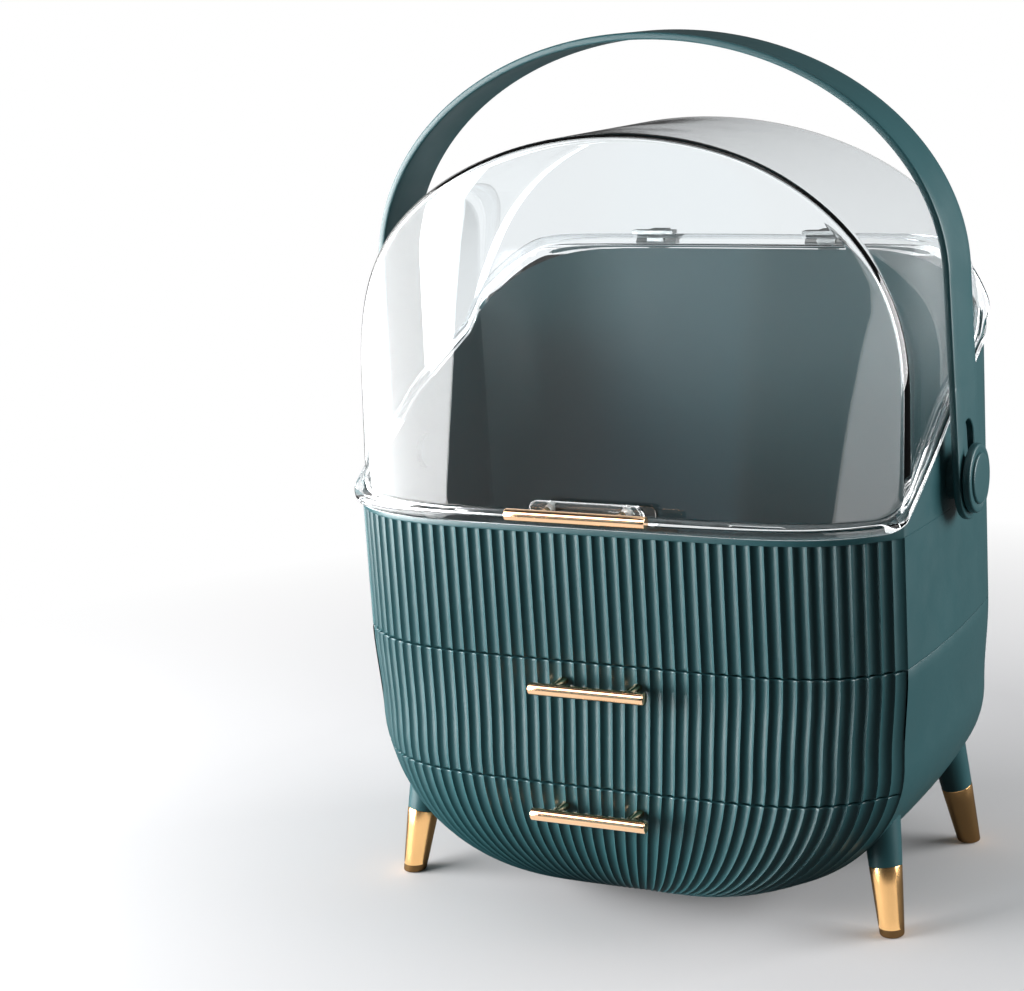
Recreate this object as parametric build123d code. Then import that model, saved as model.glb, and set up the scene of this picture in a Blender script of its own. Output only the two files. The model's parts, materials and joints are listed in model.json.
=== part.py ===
from build123d import *
import os
from math import cos, hypot, pi, sin, sqrt

os.makedirs("parts", exist_ok=True)

# Sizes in millimetres. X runs to the viewer's right, the front faces -Y, Z is up and the feet stand on Z = 0.
# Plan of the case: flat sides a little bowed, front and back bulging as 1 - u ** PLAN_POWER.
HALF_WIDTH = 150.0          # half the width at the middle of the sides
CORNER_INSET = 3.0          # the four corners stand this much further in
CORNER_Y = 65.0             # where the bulged front meets the flat side
HALF_DEPTH = 96.5           # half the depth on the middle line, above the drawers
PLAN_POWER = 6
WALL = 3.0
GAP = 0.3                   # clearance between pieces that move

# Heights of the case
BOTTOM_Z = 13.0
SEAM_LOW_Z = 73.6           # between the two drawers
SEAM_HIGH_Z = 136.0         # between upper drawer and upper case
RIB_TOP_Z = 200.0
RIM_FRONT_Z = 203.5
RIM_BACK_Z = 315.0
RIM_START_Y = -72.0
RIM_MIDDLE = (0.0, 248.6)   # y and z where the sloping rim eases
RIM_BEND = (54.0, 270.5)    # y and z where it turns steeper
RIM_END_Y = HALF_DEPTH - 3.5
RIM_RADIUS = 10.0
SHELL_ROWS = 16             # plans lofted into the lower case
FRONT_ROWS = 10             # plans lofted into the lower drawer front

# Rounding of the lower case: an elliptical corner seen from the front, a roll under seen from the side
ROUND_TOP_Z = 89.0
ROUND_HALF_WIDTH = HALF_WIDTH - 3.0
ROUND_REACH = 100.0
ROLL_TOP_Z = 58.0
ROLL_HALF_DEPTH = HALF_DEPTH + 6.0
ROLL_REACH = 27.5

# Upright ribs on the three fronts: sharp crests with a round hollow between each two
RIB_COUNT = 46
RIB_DEPTH = 1.9
RIB_SET_BACK = 0.3          # the rib crests stand this much behind the smooth band above them

# Drawers
FRONT_WALL = 4.0
FRONT_GAP = 0.8             # open line under and over a drawer front
BOX_WALL = 2.0
BOX_BACK_Y = 68.0
UPPER_BOX_SIDE_GAP = 19.0   # drawer boxes to the widest part of the case
UPPER_BOX_HALF_WIDTH = HALF_WIDTH - UPPER_BOX_SIDE_GAP
UPPER_BOX_TOP_Z = 131.5
LOWER_BOX_SIDE_GAP = 34.0
LOWER_BOX_HALF_WIDTH = HALF_WIDTH - LOWER_BOX_SIDE_GAP
LOWER_BOX_TOP_Z = 67.5
SHELF_THICKNESS = 2.5
RAIL_X = 35.0               # skids under the lower drawer
STOP_Y = -54.0              # back face of the stop ribs the drawers run up to
STOP_X = 50.0

# Pulls
BAR_RADIUS = 3.1
DRAWER_BAR_HALF = 30.85
LID_BAR_HALF = 37.0
POST_X = 20.0
POST_RADIUS = 2.3
STANDOFF = 13.6             # bar axis to the rib tops
PULL_DROP = 10.4            # bar axis below the seam above it
SCREW_RADIUS = 1.2
SCREW_HEAD_RADIUS = 2.6

# Clear lid
LID_WALL = 2.5
DOME_SET_IN = 2.4            # dome, flange and handle against the side of the case
DOME_HALF_WIDTH = HALF_WIDTH - DOME_SET_IN
DOME_SPRING_Z = 261.1
DOME_RISE = 125.7
DOME_POWER = 2.5
DOME_FOOT_DEPTH = HALF_DEPTH - 2.5   # half depth where the dome stands on the flange
DOME_FOOT_CORNER_Y = 62.5
DOME_TOP_DEPTH = 56.6       # half depth at the crown
DOME_TOP_SIDE_DEPTH = 50.0
FLANGE_THICK = 5.5
FLANGE_REACH = 2.6
FLANGE_HALF_WIDTH = HALF_WIDTH + FLANGE_REACH
FLANGE_CORNER_X = FLANGE_HALF_WIDTH - 2.8
FLANGE_CORNER_Y = 68.0
FLANGE_HALF_DEPTH = HALF_DEPTH + 5.0
TAB_HALF = 30.0
TAB_TOP_Z = 217.0
LID_BAR_Y = -(HALF_DEPTH + 14.9)
LID_BAR_Z = 212.2

# Lid hinges
HINGE_X = 50.0
HINGE_Y = HALF_DEPTH + 9.0
HINGE_Z = 316.0
KNUCKLE_RADIUS = 3.5
HINGE_PIN_RADIUS = 1.6
HINGE_HALF = 12.0
LEAF_HALF = 5.0

# Carrying handle
PIVOT_Y = -1.0
PIVOT_Z = 215.1
HANDLE_WIDTH = 34.7
HANDLE_THICK = 3.6
HANDLE_STAND = 6.4
HANDLE_HALF = HALF_WIDTH + HANDLE_STAND   # outer half width where the legs meet the arch
HANDLE_SPRING_Z = 313.8
HANDLE_RISE = 118.7
HANDLE_SPLAY = 0.03         # outward lean of the legs going down
HANDLE_END_Z = 212.0        # centre of the round lower end
SLOT_HALF = 8.0
SLOT_LOW_Z = 214.8
SLOT_HIGH_Z = 236.0
SHANK_RADIUS = 4.0
SHANK_FIT = 0.06
SPACER_RADIUS = 11.0
SPACER_LENGTH = 4.6
SPACER_X = HALF_WIDTH + SPACER_LENGTH
BUTTON_RADIUS = 17.0
BUTTON_STAND = 10.3
BUTTON_X = HALF_WIDTH + BUTTON_STAND
BUTTON_THICK = 3.8
BUTTON_RING = 1.0

# Legs
FOOT_SET_IN = 15.5
FOOT_X, FOOT_Y = HALF_WIDTH - FOOT_SET_IN, CORNER_Y - 2.0
LEG_LEAN = (-4.5 / 33.0, 6.0 / 33.0)   # inward lean in x and in y for each millimetre of height
TIP_HEIGHT = 33.0
TIP_FOOT_RADIUS = 6.0
TIP_TOP_RADIUS = 8.2
LEG_TOP_Z = 64.0
LEG_TOP_RADIUS = 10.0
SPIGOT_RADIUS = 4.5
SPIGOT_LENGTH = 16.0


def smooth(k):
    k = max(0.0, min(1.0, k))
    return k * k * (3 - 2 * k)


def half_width(z, inset=0.0):
    """Half the width of the case at height z, moved in by a wall thickness."""
    if z >= ROUND_TOP_Z:
        k = smooth((z - ROUND_TOP_Z) / (SEAM_HIGH_Z - ROUND_TOP_Z))
        return ROUND_HALF_WIDTH + (HALF_WIDTH - ROUND_HALF_WIDTH) * k - inset
    drop = (ROUND_TOP_Z - z) / (ROUND_TOP_Z - BOTTOM_Z - inset)
    return ROUND_HALF_WIDTH - ROUND_REACH + (ROUND_REACH - inset) * sqrt(max(0.0, 1 - drop * drop))


def half_depth(z, inset=0.0):
    """Half the depth of the case on its middle line at height z."""
    if z >= ROLL_TOP_Z:
        k = smooth((z - ROLL_TOP_Z) / (SEAM_HIGH_Z - ROLL_TOP_Z))
        return ROLL_HALF_DEPTH + (HALF_DEPTH - ROLL_HALF_DEPTH) * k - inset
    drop = (ROLL_TOP_Z - z) / (ROLL_TOP_Z - BOTTOM_Z - inset)
    return ROLL_HALF_DEPTH - ROLL_REACH + (ROLL_REACH - inset) * sqrt(max(0.0, 1 - drop * drop))


def bulge_y(u, depth, corner_y):
    return corner_y + (depth - corner_y) * (1 - min(1.0, abs(u)) ** PLAN_POWER)


def rib_fractions():
    """Values of u from -1 to 1 that split the bulged front into equal lengths, two for each rib."""
    corner_x = HALF_WIDTH - CORNER_INSET
    us = [-1 + 2 * i / 4000 for i in range(4001)]
    run = [0.0]
    for a, b in zip(us, us[1:]):
        dy = bulge_y(a, HALF_DEPTH, CORNER_Y) - bulge_y(b, HALF_DEPTH, CORNER_Y)
        run.append(run[-1] + hypot((b - a) * corner_x, dy))
    found, at = [], 0
    for i in range(2 * RIB_COUNT + 1):
        want = run[-1] * i / (2 * RIB_COUNT)
        while at < 4000 and run[at] < want:
            at += 1
        found.append(us[at])
    return found


RIB_U = rib_fractions()


def spline_curve(corner_x, depth, corner_y, z, side=-1, flip=False):
    """The bulged front (side -1) or back (side 1) as a smooth curve, left to right unless flipped."""
    us = [sin(-pi / 2 + pi * i / 18) for i in range(19)]
    points = [(corner_x * u, side * bulge_y(u, depth, corner_y), z) for u in us]
    return Spline(*(points[::-1] if flip else points))


def ribbed_edges(z, corner_x, depth):
    """The front curve as RIB_COUNT round hollows, left to right, shallower where the front is narrower and at its ends."""
    groove = RIB_SET_BACK + RIB_DEPTH * corner_x / (HALF_WIDTH - CORNER_INSET)
    def at(i, dig):
        u = RIB_U[i]
        slope = (depth - CORNER_Y) * PLAN_POWER * abs(u) ** (PLAN_POWER - 1) / corner_x * (1 if u > 0 else -1)
        length = hypot(slope, 1)
        y = -bulge_y(u, depth, CORNER_Y)
        return (corner_x * u - dig * slope / length, y + dig / length, z)
    edges = []
    for i in range(RIB_COUNT):
        first, last = i == 0, i == RIB_COUNT - 1
        start = at(2 * i, 0.0 if first else RIB_SET_BACK)
        end = at(2 * i + 2, 0.0 if last else RIB_SET_BACK)
        edges.append(ThreePointArc(start, at(2 * i + 1, groove / 2 if first or last else groove), end))
    return edges


def case_wire(z, width, depth, corner_x, corner_y, ribbed=False):
    """Closed plan of the case at height z."""
    front = ribbed_edges(z, corner_x, depth) if ribbed else [spline_curve(corner_x, depth, corner_y, z)]
    right = ThreePointArc((corner_x, -corner_y, z), (width, 0, z), (corner_x, corner_y, z))
    back = spline_curve(corner_x, depth, corner_y, z, side=1, flip=True)
    left = ThreePointArc((-corner_x, corner_y, z), (-width, 0, z), (-corner_x, -corner_y, z))
    return Wire([*front, right, back, left])


def prism(wire, height):
    return extrude(Face(wire), amount=height, dir=(0, 0, 1))


def shell_wire(z, inset, front_y):
    """Plan of the lower case at height z: sides and back, cut straight across at front_y."""
    width = half_width(z, inset)
    corner_x = width - CORNER_INSET
    corner_y = CORNER_Y - inset * 0.4
    depth = half_depth(z, inset)
    right = ThreePointArc((corner_x, -CORNER_Y, z), (width, 0, z), (corner_x, corner_y, z))
    back = spline_curve(corner_x, depth, corner_y, z, side=1, flip=True)
    left = ThreePointArc((-corner_x, corner_y, z), (-width, 0, z), (-corner_x, -CORNER_Y, z))
    if front_y >= -CORNER_Y:
        return Wire([right, back, left, Line((-corner_x, -CORNER_Y, z), (corner_x, -CORNER_Y, z))])
    a, b = (-corner_x, front_y, z), (corner_x, front_y, z)
    return Wire([right, back, left, Line((-corner_x, -CORNER_Y, z), a), Line(a, b),
                 Line(b, (corner_x, -CORNER_Y, z))])


def front_wire(z, ribbed, inset, back_y):
    """Plan of a drawer front at height z: the bulge closed by a straight line at back_y."""
    corner_x = half_width(z, inset) - CORNER_INSET
    depth = half_depth(z, inset)
    a, b = (-corner_x, -CORNER_Y, z), (corner_x, -CORNER_Y, z)
    edges = ribbed_edges(z, corner_x, depth) if ribbed else [spline_curve(corner_x, depth, CORNER_Y, z)]
    c, d = (-corner_x, back_y, z), (corner_x, back_y, z)
    return Wire([*edges, Line(b, d), Line(d, c), Line(c, a)])


def loft_up(make, heights, ruled=False):
    return Solid.make_loft([make(z) for z in heights], ruled=ruled)


def steps(low, high, first, count):
    """Heights from low to high, close together at the bottom where the wall turns under."""
    return [low + (high - low) * (first + (1 - first) * i / (count - 1)) ** 2 if i else low
            for i in range(count)]


def cyl_x(radius, x0, x1, y, z):
    return Pos((x0 + x1) / 2, y, z) * Rot(0, 90, 0) * Cylinder(radius, abs(x1 - x0))


def cyl_y(radius, y0, y1, x, z):
    return Pos(x, (y0 + y1) / 2, z) * Rot(90, 0, 0) * Cylinder(radius, abs(y1 - y0))


def box_at(x0, x1, y0, y1, z0, z1):
    return Pos((x0 + x1) / 2, (y0 + y1) / 2, (z0 + z1) / 2) * Box(abs(x1 - x0), abs(y1 - y0), abs(z1 - z0))


def rim_solid(lift, thick):
    """Everything from lift above the case rim up to thick above that, across the whole width."""
    low = [(-140, RIM_FRONT_Z), (RIM_START_Y, RIM_FRONT_Z), RIM_MIDDLE, RIM_BEND,
           (RIM_END_Y, RIM_BACK_Z), (140, RIM_BACK_Z)]
    lower = FilletPolyline(*[(y, z + lift) for y, z in low], radius=RIM_RADIUS)
    upper = FilletPolyline(*[(y, z + lift + thick) for y, z in low], radius=RIM_RADIUS)
    ends = [Line(lower @ 1, upper @ 1), Line(upper @ 0, lower @ 0)]
    face = make_face([*lower.edges(), *upper.edges(), *ends])
    return Plane.YZ * Pos(0, 0, -2 * HALF_WIDTH) * extrude(face, amount=4 * HALF_WIDTH)


def leg_point(sx, sy, z):
    return (sx * (FOOT_X + LEG_LEAN[0] * z), sy * (FOOT_Y - LEG_LEAN[1] * z), z)


def leg_cone(sx, sy, z0, z1, r0, r1):
    """A round bar along the leg's leaning axis, r0 at height z0 and r1 at z1."""
    a, b = Vector(*leg_point(sx, sy, z0)), Vector(*leg_point(sx, sy, z1))
    axis = b - a
    plane = Plane(origin=a + axis * 0.5, z_dir=axis)
    if abs(r0 - r1) < 1e-6:
        return plane * Cylinder(r0, axis.length)
    return plane * Cone(r0, r1, axis.length)


parts = {}

# Upper case: ribbed front, plain sides rising to the tall back, and the tray floor
corner_x = HALF_WIDTH - CORNER_INSET
upper = prism(case_wire(SEAM_HIGH_Z, HALF_WIDTH, HALF_DEPTH, corner_x, CORNER_Y, ribbed=True), RIB_TOP_Z - SEAM_HIGH_Z)
upper += prism(case_wire(RIB_TOP_Z, HALF_WIDTH, HALF_DEPTH, corner_x, CORNER_Y), RIM_BACK_Z + 5 - RIB_TOP_Z)
upper -= prism(
    case_wire(SEAM_HIGH_Z + WALL, HALF_WIDTH - WALL, HALF_DEPTH - WALL, corner_x - WALL, CORNER_Y - WALL * 0.4), RIM_BACK_Z)
upper -= rim_solid(0.0, RIM_BACK_Z)
for sx in (-1, 1):
    upper += box_at(sx * (STOP_X - 8), sx * (STOP_X + 8), STOP_Y - 3, STOP_Y, SEAM_HIGH_Z - 4, SEAM_HIGH_Z + 1)
    upper -= cyl_x(SHANK_RADIUS + SHANK_FIT, sx * (HALF_WIDTH - 12), sx * (HALF_WIDTH + 5), PIVOT_Y, PIVOT_Z)

# Lower case: round shell open to the front, with bosses, shelf ledges, skids and a stop rib
shell_heights = steps(BOTTOM_Z, SEAM_HIGH_Z, 0.04, SHELL_ROWS)
outer_shell = loft_up(lambda z: shell_wire(z, 0.0, -CORNER_Y), shell_heights, ruled=True)
inner_heights = [*steps(BOTTOM_Z + WALL, SEAM_HIGH_Z, 0.04, SHELL_ROWS), SEAM_HIGH_Z + 2]
inner_shell = loft_up(lambda z: shell_wire(z, WALL, -CORNER_Y - 8), inner_heights, ruled=True)
lower = outer_shell - inner_shell
shelf_z = SEAM_LOW_Z - SHELF_THICKNESS / 2
boss_x = half_width(110, WALL) - 5.0
for sx in (-1, 1):
    lower += (box_at(sx * (half_width(shelf_z, WALL) - 9), sx * (HALF_WIDTH + 10), -58, 58, shelf_z - 3.2, shelf_z - 0.2)
              & outer_shell)
    lower += box_at(sx * (RAIL_X - 2), sx * (RAIL_X + 2), -62, 66, BOTTOM_Z + WALL - 1, BOTTOM_Z + WALL + 3.7)
    for sy in (-1, 1):
        boss = Pos(sx * boss_x, sy * 42, (100 + SEAM_HIGH_Z) / 2) * Cylinder(4.5, SEAM_HIGH_Z - 100)
        web = box_at(sx * boss_x, sx * (boss_x + 8), sy * 42 - 2, sy * 42 + 2, 100, SEAM_HIGH_Z)
        lower += (boss + web) & outer_shell
        hole = Pos(sx * boss_x, sy * 42, SEAM_HIGH_Z - 6) * Cylinder(1.5, 14.0)
        lower -= hole
        upper -= Pos(sx * boss_x, sy * 42, SEAM_HIGH_Z) * Cylinder(1.7, 10)
        upper -= Pos(sx * boss_x, sy * 42, SEAM_HIGH_Z + WALL) * Cylinder(3.2, 2.4)

screws = []
for sx in (-1, 1):
    for sy in (-1, 1):
        top = SEAM_HIGH_Z + WALL - 1.2
        head = Pos(sx * boss_x, sy * 42, top + 0.55) * Cylinder(3.0, 1.1)
        screws.append(head + Pos(sx * boss_x, sy * 42, top - 5.5) * Cylinder(1.5, 11.0))
parts["case_screws"] = Compound(screws)

# Shelf between the drawers, with guide strips beside the upper drawer
shelf = prism(shell_wire(shelf_z, WALL + 0.25, -CORNER_Y), SHELF_THICKNESS)
for sx in (-1, 1):
    shelf += box_at(sx * (UPPER_BOX_HALF_WIDTH + GAP), sx * (UPPER_BOX_HALF_WIDTH + GAP + 3), -60, 60,
                    shelf_z + SHELF_THICKNESS - 0.5, shelf_z + SHELF_THICKNESS + 5)
    shelf += box_at(sx * (STOP_X - 8), sx * (STOP_X + 8), STOP_Y - 3, STOP_Y, shelf_z - 3.5, shelf_z + 0.5)
parts["shelf"] = shelf


def drawer_box(low, high, width_at, depth_at):
    """Open tray whose front follows the drawer front and whose back is straight."""
    def wire(z, inset, back):
        corner = width_at(z) - inset
        curve = spline_curve(corner, depth_at(z) - inset, CORNER_Y - 1 - inset * 0.4, z)
        a, b = curve @ 0, curve @ 1
        c, d = (b.X, back, z), (a.X, back, z)
        return Wire([curve, Line(b, c), Line(c, d), Line(d, a)])
    levels = steps(low, high, 0.05, 8)
    inner_levels = steps(low + BOX_WALL, high + 1, 0.05, 8)
    tray = loft_up(lambda z: wire(z, 0.0, BOX_BACK_Y), levels)
    return tray - loft_up(lambda z: wire(z, BOX_WALL, BOX_BACK_Y - BOX_WALL), inner_levels)


def pull(name, half, y, z, seat_y, screw_back_y, posts_x=POST_X):
    """Round bar on two posts, each held by a screw from behind. Returns the cutter for the screw holes."""
    bar = fillet(cyl_x(BAR_RADIUS, -half, half, y, z).edges(), 0.8)
    parts[f"{name}_bar"] = bar
    posts, screws, holes = [], [], []
    for sx in (-1, 1):
        post = cyl_y(POST_RADIUS, y, seat_y, sx * posts_x, z) - cyl_x(BAR_RADIUS, -half, half, y, z)
        posts.append(post - cyl_y(SCREW_RADIUS, seat_y - 6, seat_y + 5, sx * posts_x, z))
        screws.append(cyl_y(SCREW_RADIUS, seat_y - 5.5, screw_back_y + 0.5, sx * posts_x, z)
                      + cyl_y(SCREW_HEAD_RADIUS, screw_back_y, screw_back_y + 1.6, sx * posts_x, z))
        holes.append(cyl_y(SCREW_RADIUS + 0.15, seat_y - 1, screw_back_y + 0.2, sx * posts_x, z)
                     + cyl_y(SCREW_HEAD_RADIUS + 0.1, screw_back_y, screw_back_y + 6, sx * posts_x, z))
    parts[f"{name}_posts"] = Compound(posts)
    parts[f"{name}_screws"] = Compound(screws)
    return holes


def front_block(low, high):
    """The space ahead of the case that a drawer front takes."""
    return box_at(-HALF_WIDTH - 20, HALF_WIDTH + 20, -HALF_DEPTH - 60, -CORNER_Y - GAP, low, high)


# Upper drawer
top_z, low_z = SEAM_HIGH_Z - FRONT_GAP, SEAM_LOW_Z + FRONT_GAP / 2
rows = [low_z + (top_z - low_z) * k / 4 for k in range(5)]
front = front_block(low_z, top_z) & loft_up(lambda z: front_wire(z, True, 0.0, -CORNER_Y - GAP), rows, ruled=True)
rows = [low_z - 2 + (top_z - low_z + 4) * k / 4 for k in range(5)]
front -= loft_up(lambda z: front_wire(z, False, FRONT_WALL, -CORNER_Y + 3), rows, ruled=True)
box_low = shelf_z + SHELF_THICKNESS + GAP
box_depth = half_depth(UPPER_BOX_TOP_Z, FRONT_WALL) - GAP
tray = drawer_box(box_low, UPPER_BOX_TOP_Z, lambda z: UPPER_BOX_HALF_WIDTH, lambda z: box_depth)
for sx in (-1, 1):
    tray += box_at(sx * (STOP_X - 6), sx * (STOP_X + 6), BOX_BACK_Y - 2, BOX_BACK_Y, UPPER_BOX_TOP_Z - 1, SEAM_HIGH_Z - 1.5)
bar_z = SEAM_HIGH_Z - PULL_DROP
seat_y = -half_depth(bar_z) + RIB_SET_BACK + RIB_DEPTH + 0.1
wall_y = -box_depth + BOX_WALL
for hole in pull("upper_pull", DRAWER_BAR_HALF, -half_depth(bar_z) - STANDOFF, bar_z, seat_y, wall_y + 0.05):
    front -= hole
    tray -= hole
for sx in (-1, 1):
    front -= cyl_y(POST_RADIUS + 0.05, seat_y - 5, seat_y, sx * POST_X, bar_z)
parts["upper_drawer_front"], parts["upper_drawer_box"] = front, tray

# Lower drawer, whose front rolls under with the case
top_z = SEAM_LOW_Z - FRONT_GAP / 2
rows = steps(BOTTOM_Z, top_z, 0.05, FRONT_ROWS)
front = front_block(BOTTOM_Z, top_z) & loft_up(lambda z: front_wire(z, True, 0.0, -CORNER_Y - GAP), rows, ruled=True)
rows = steps(BOTTOM_Z + FRONT_WALL, top_z + 2, 0.05, FRONT_ROWS)
front -= loft_up(lambda z: front_wire(z, False, FRONT_WALL, -CORNER_Y + 3), rows, ruled=True)
tray = drawer_box(BOTTOM_Z + WALL + 3.7 + GAP, LOWER_BOX_TOP_Z,
                  lambda z: min(LOWER_BOX_HALF_WIDTH, half_width(z, 7.0)), lambda z: half_depth(z, FRONT_WALL + 2.5))
for sx in (-1, 1):
    tray += box_at(sx * (STOP_X - 6), sx * (STOP_X + 6), BOX_BACK_Y - 2, BOX_BACK_Y, LOWER_BOX_TOP_Z - 1, shelf_z - 1.0)
bar_z = SEAM_LOW_Z - PULL_DROP
seat_y = -half_depth(bar_z) + RIB_SET_BACK + RIB_DEPTH + 0.1
wall_y = -half_depth(bar_z, FRONT_WALL + 2.5) + BOX_WALL
for hole in pull("lower_pull", DRAWER_BAR_HALF, -half_depth(bar_z) - STANDOFF, bar_z, seat_y, wall_y + 0.05):
    front -= hole
    tray -= hole
for sx in (-1, 1):
    front -= cyl_y(POST_RADIUS + 0.05, seat_y - 5, seat_y, sx * POST_X, bar_z)
parts["lower_drawer_front"], parts["lower_drawer_box"] = front, tray


# Clear lid: an arch run from front to back, cut by leaning curved ends, on a flat flange
def arch_solid(inset):
    width, rise = DOME_HALF_WIDTH - inset, DOME_RISE - inset
    turns = [-pi / 2 + pi * i / 24 for i in range(25)]
    points = [(width * sin(t), DOME_SPRING_Z + rise * abs(cos(t)) ** (2 / DOME_POWER)) for t in turns]
    curve = Spline(*points, tangents=[(0, 1), (0, -1)])
    base = RIM_FRONT_Z - 10
    a, b = (-width, base), (width, base)
    face = make_face([curve, Line(points[-1], b), Line(b, a), Line(a, points[0])])
    return Pos(0, 2 * HALF_DEPTH, 0) * extrude(Plane.XZ * face, amount=4 * HALF_DEPTH)


def tent_solid(inset):
    """Bulged front and back, leaning in from the front and back flange to near straight lines above the crown."""
    reach = HALF_WIDTH + 4
    foot_z, top_z = RIM_FRONT_Z - 5, DOME_SPRING_Z + DOME_RISE + 5

    def depth_at(x, lean):
        u = x / DOME_HALF_WIDTH
        foot = DOME_FOOT_CORNER_Y + (DOME_FOOT_DEPTH - DOME_FOOT_CORNER_Y) * (1 - abs(u) ** PLAN_POWER)
        top = DOME_TOP_SIDE_DEPTH + (DOME_TOP_DEPTH - DOME_TOP_SIDE_DEPTH) * (1 - u * u)
        return foot + (top - foot) * lean - inset

    def wire(z, front_lean, back_lean):
        xs = [reach * (-1 + k / 12) for k in range(25)]
        front = [(x, -depth_at(x, front_lean), z) for x in xs]
        back = [(x, depth_at(x, back_lean), z) for x in xs[::-1]]
        return Wire([Spline(*front), Line(front[-1], back[0]), Spline(*back), Line(back[-1], front[0])])
    middle = (RIM_BACK_Z - foot_z) / (top_z - foot_z)
    rows = [wire(foot_z, 0.0, 0.0), wire(RIM_BACK_Z, middle, 0.0), wire(top_z, 1.0, 1.0)]
    return Solid.make_loft(rows, ruled=True)


dome = (arch_solid(0.0) & tent_solid(0.0)) - (arch_solid(LID_WALL) & tent_solid(LID_WALL))
flange = prism(case_wire(RIM_FRONT_Z - 10, FLANGE_HALF_WIDTH, FLANGE_HALF_DEPTH, FLANGE_CORNER_X, FLANGE_CORNER_Y), RIM_BACK_Z)
inner_half = DOME_HALF_WIDTH - LID_WALL
flange -= prism(case_wire(RIM_FRONT_Z - 20, inner_half, DOME_FOOT_DEPTH - 4.5, inner_half - 1.5, CORNER_Y - 7.0), RIM_BACK_Z)
lid = (dome & rim_solid(GAP, RIM_BACK_Z)) + (flange & rim_solid(GAP, FLANGE_THICK))
tab_back = -FLANGE_HALF_DEPTH + 4.5
tab = box_at(-TAB_HALF, TAB_HALF, -FLANGE_HALF_DEPTH - 0.2, tab_back, RIM_FRONT_Z + GAP + 1, TAB_TOP_Z)
tab = fillet(tab.edges().filter_by(Axis.Y).group_by(Axis.Z)[-1], 4.0)
lid += tab
for hole in pull("lid_pull", LID_BAR_HALF, LID_BAR_Y, LID_BAR_Z, -FLANGE_HALF_DEPTH - 0.2, tab_back + 0.05):
    lid -= hole
parts["lid"] = lid

# Lid hinges: a seat on the case, a leaf on the lid and a pin in each
for side, sx in (("left", -1), ("right", 1)):
    x = sx * HINGE_X
    r = KNUCKLE_RADIUS
    seat = box_at(x - HINGE_HALF, x + HINGE_HALF, HALF_DEPTH - 1.5, HINGE_Y - r, HINGE_Z - 14, HINGE_Z - r)
    for x0, x1 in ((x - HINGE_HALF, x - LEAF_HALF - GAP), (x + LEAF_HALF + GAP, x + HINGE_HALF)):
        seat += cyl_x(r, x0, x1, HINGE_Y, HINGE_Z) + box_at(x0, x1, HINGE_Y - r, HINGE_Y + r, HINGE_Z - 14, HINGE_Z)
    seat -= cyl_x(HINGE_PIN_RADIUS, x - 20, x + 20, HINGE_Y, HINGE_Z)
    seat -= upper
    flange_top = RIM_BACK_Z + GAP + FLANGE_THICK
    leaf = cyl_x(r, x - LEAF_HALF, x + LEAF_HALF, HINGE_Y, HINGE_Z)
    leaf += box_at(x - LEAF_HALF, x + LEAF_HALF, HINGE_Y - r, HINGE_Y + r, HINGE_Z, flange_top + 2)
    leaf += box_at(x - HINGE_HALF, x + HINGE_HALF, HALF_DEPTH - 1.0, HINGE_Y - r, flange_top, flange_top + 2)
    leaf -= cyl_x(HINGE_PIN_RADIUS + 0.05, x - 20, x + 20, HINGE_Y, HINGE_Z)
    parts[f"hinge_seat_{side}"], parts[f"hinge_leaf_{side}"] = seat, leaf
    parts[f"hinge_pin_{side}"] = cyl_x(HINGE_PIN_RADIUS, x - HINGE_HALF, x + HINGE_HALF, HINGE_Y, HINGE_Z)

# Carrying handle: one flat band bent to an arch, slotted at both ends
def band_edges(half, rise, foot_x):
    low = HANDLE_END_Z - HANDLE_WIDTH / 2 - 5
    arch = EllipticalCenterArc((0, HANDLE_SPRING_Z), half, rise, start_angle=0, arc_size=180)
    return arch, Line((foot_x, low), (half, HANDLE_SPRING_Z)), Line((-half, HANDLE_SPRING_Z), (-foot_x, low)), low


leg_drop = HANDLE_SPRING_Z - (HANDLE_END_Z - HANDLE_WIDTH / 2 - 5)
outer_arch, outer_right, outer_left, band_low = band_edges(HANDLE_HALF, HANDLE_RISE, HANDLE_HALF + HANDLE_SPLAY * leg_drop)
inner = HANDLE_HALF - HANDLE_THICK
inner_arch, inner_right, inner_left, _ = band_edges(inner, HANDLE_RISE - HANDLE_THICK, inner + HANDLE_SPLAY * leg_drop)
band_face = make_face([outer_arch, outer_right, outer_left, inner_arch, inner_right, inner_left,
                       Line(outer_right @ 0, inner_right @ 0), Line(outer_left @ 1, inner_left @ 1)])
band = Pos(0, PIVOT_Y + HANDLE_WIDTH / 2, 0) * extrude(Plane.XZ * band_face, amount=HANDLE_WIDTH)
for sx in (-1, 1):
    x0, x1 = sx * (HALF_WIDTH - 10), sx * (BUTTON_X + 15)
    end = box_at(x0, x1, PIVOT_Y - 40, PIVOT_Y + 40, band_low - 5, HANDLE_END_Z) - cyl_x(HANDLE_WIDTH / 2, x0, x1, PIVOT_Y, HANDLE_END_Z)
    slot = cyl_x(SLOT_HALF, x0, x1, PIVOT_Y, SLOT_LOW_Z) + cyl_x(SLOT_HALF, x0, x1, PIVOT_Y, SLOT_HIGH_Z)
    slot += box_at(x0, x1, PIVOT_Y - SLOT_HALF, PIVOT_Y + SLOT_HALF, SLOT_LOW_Z, SLOT_HIGH_Z)
    band -= end + slot
parts["handle"] = band

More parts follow.
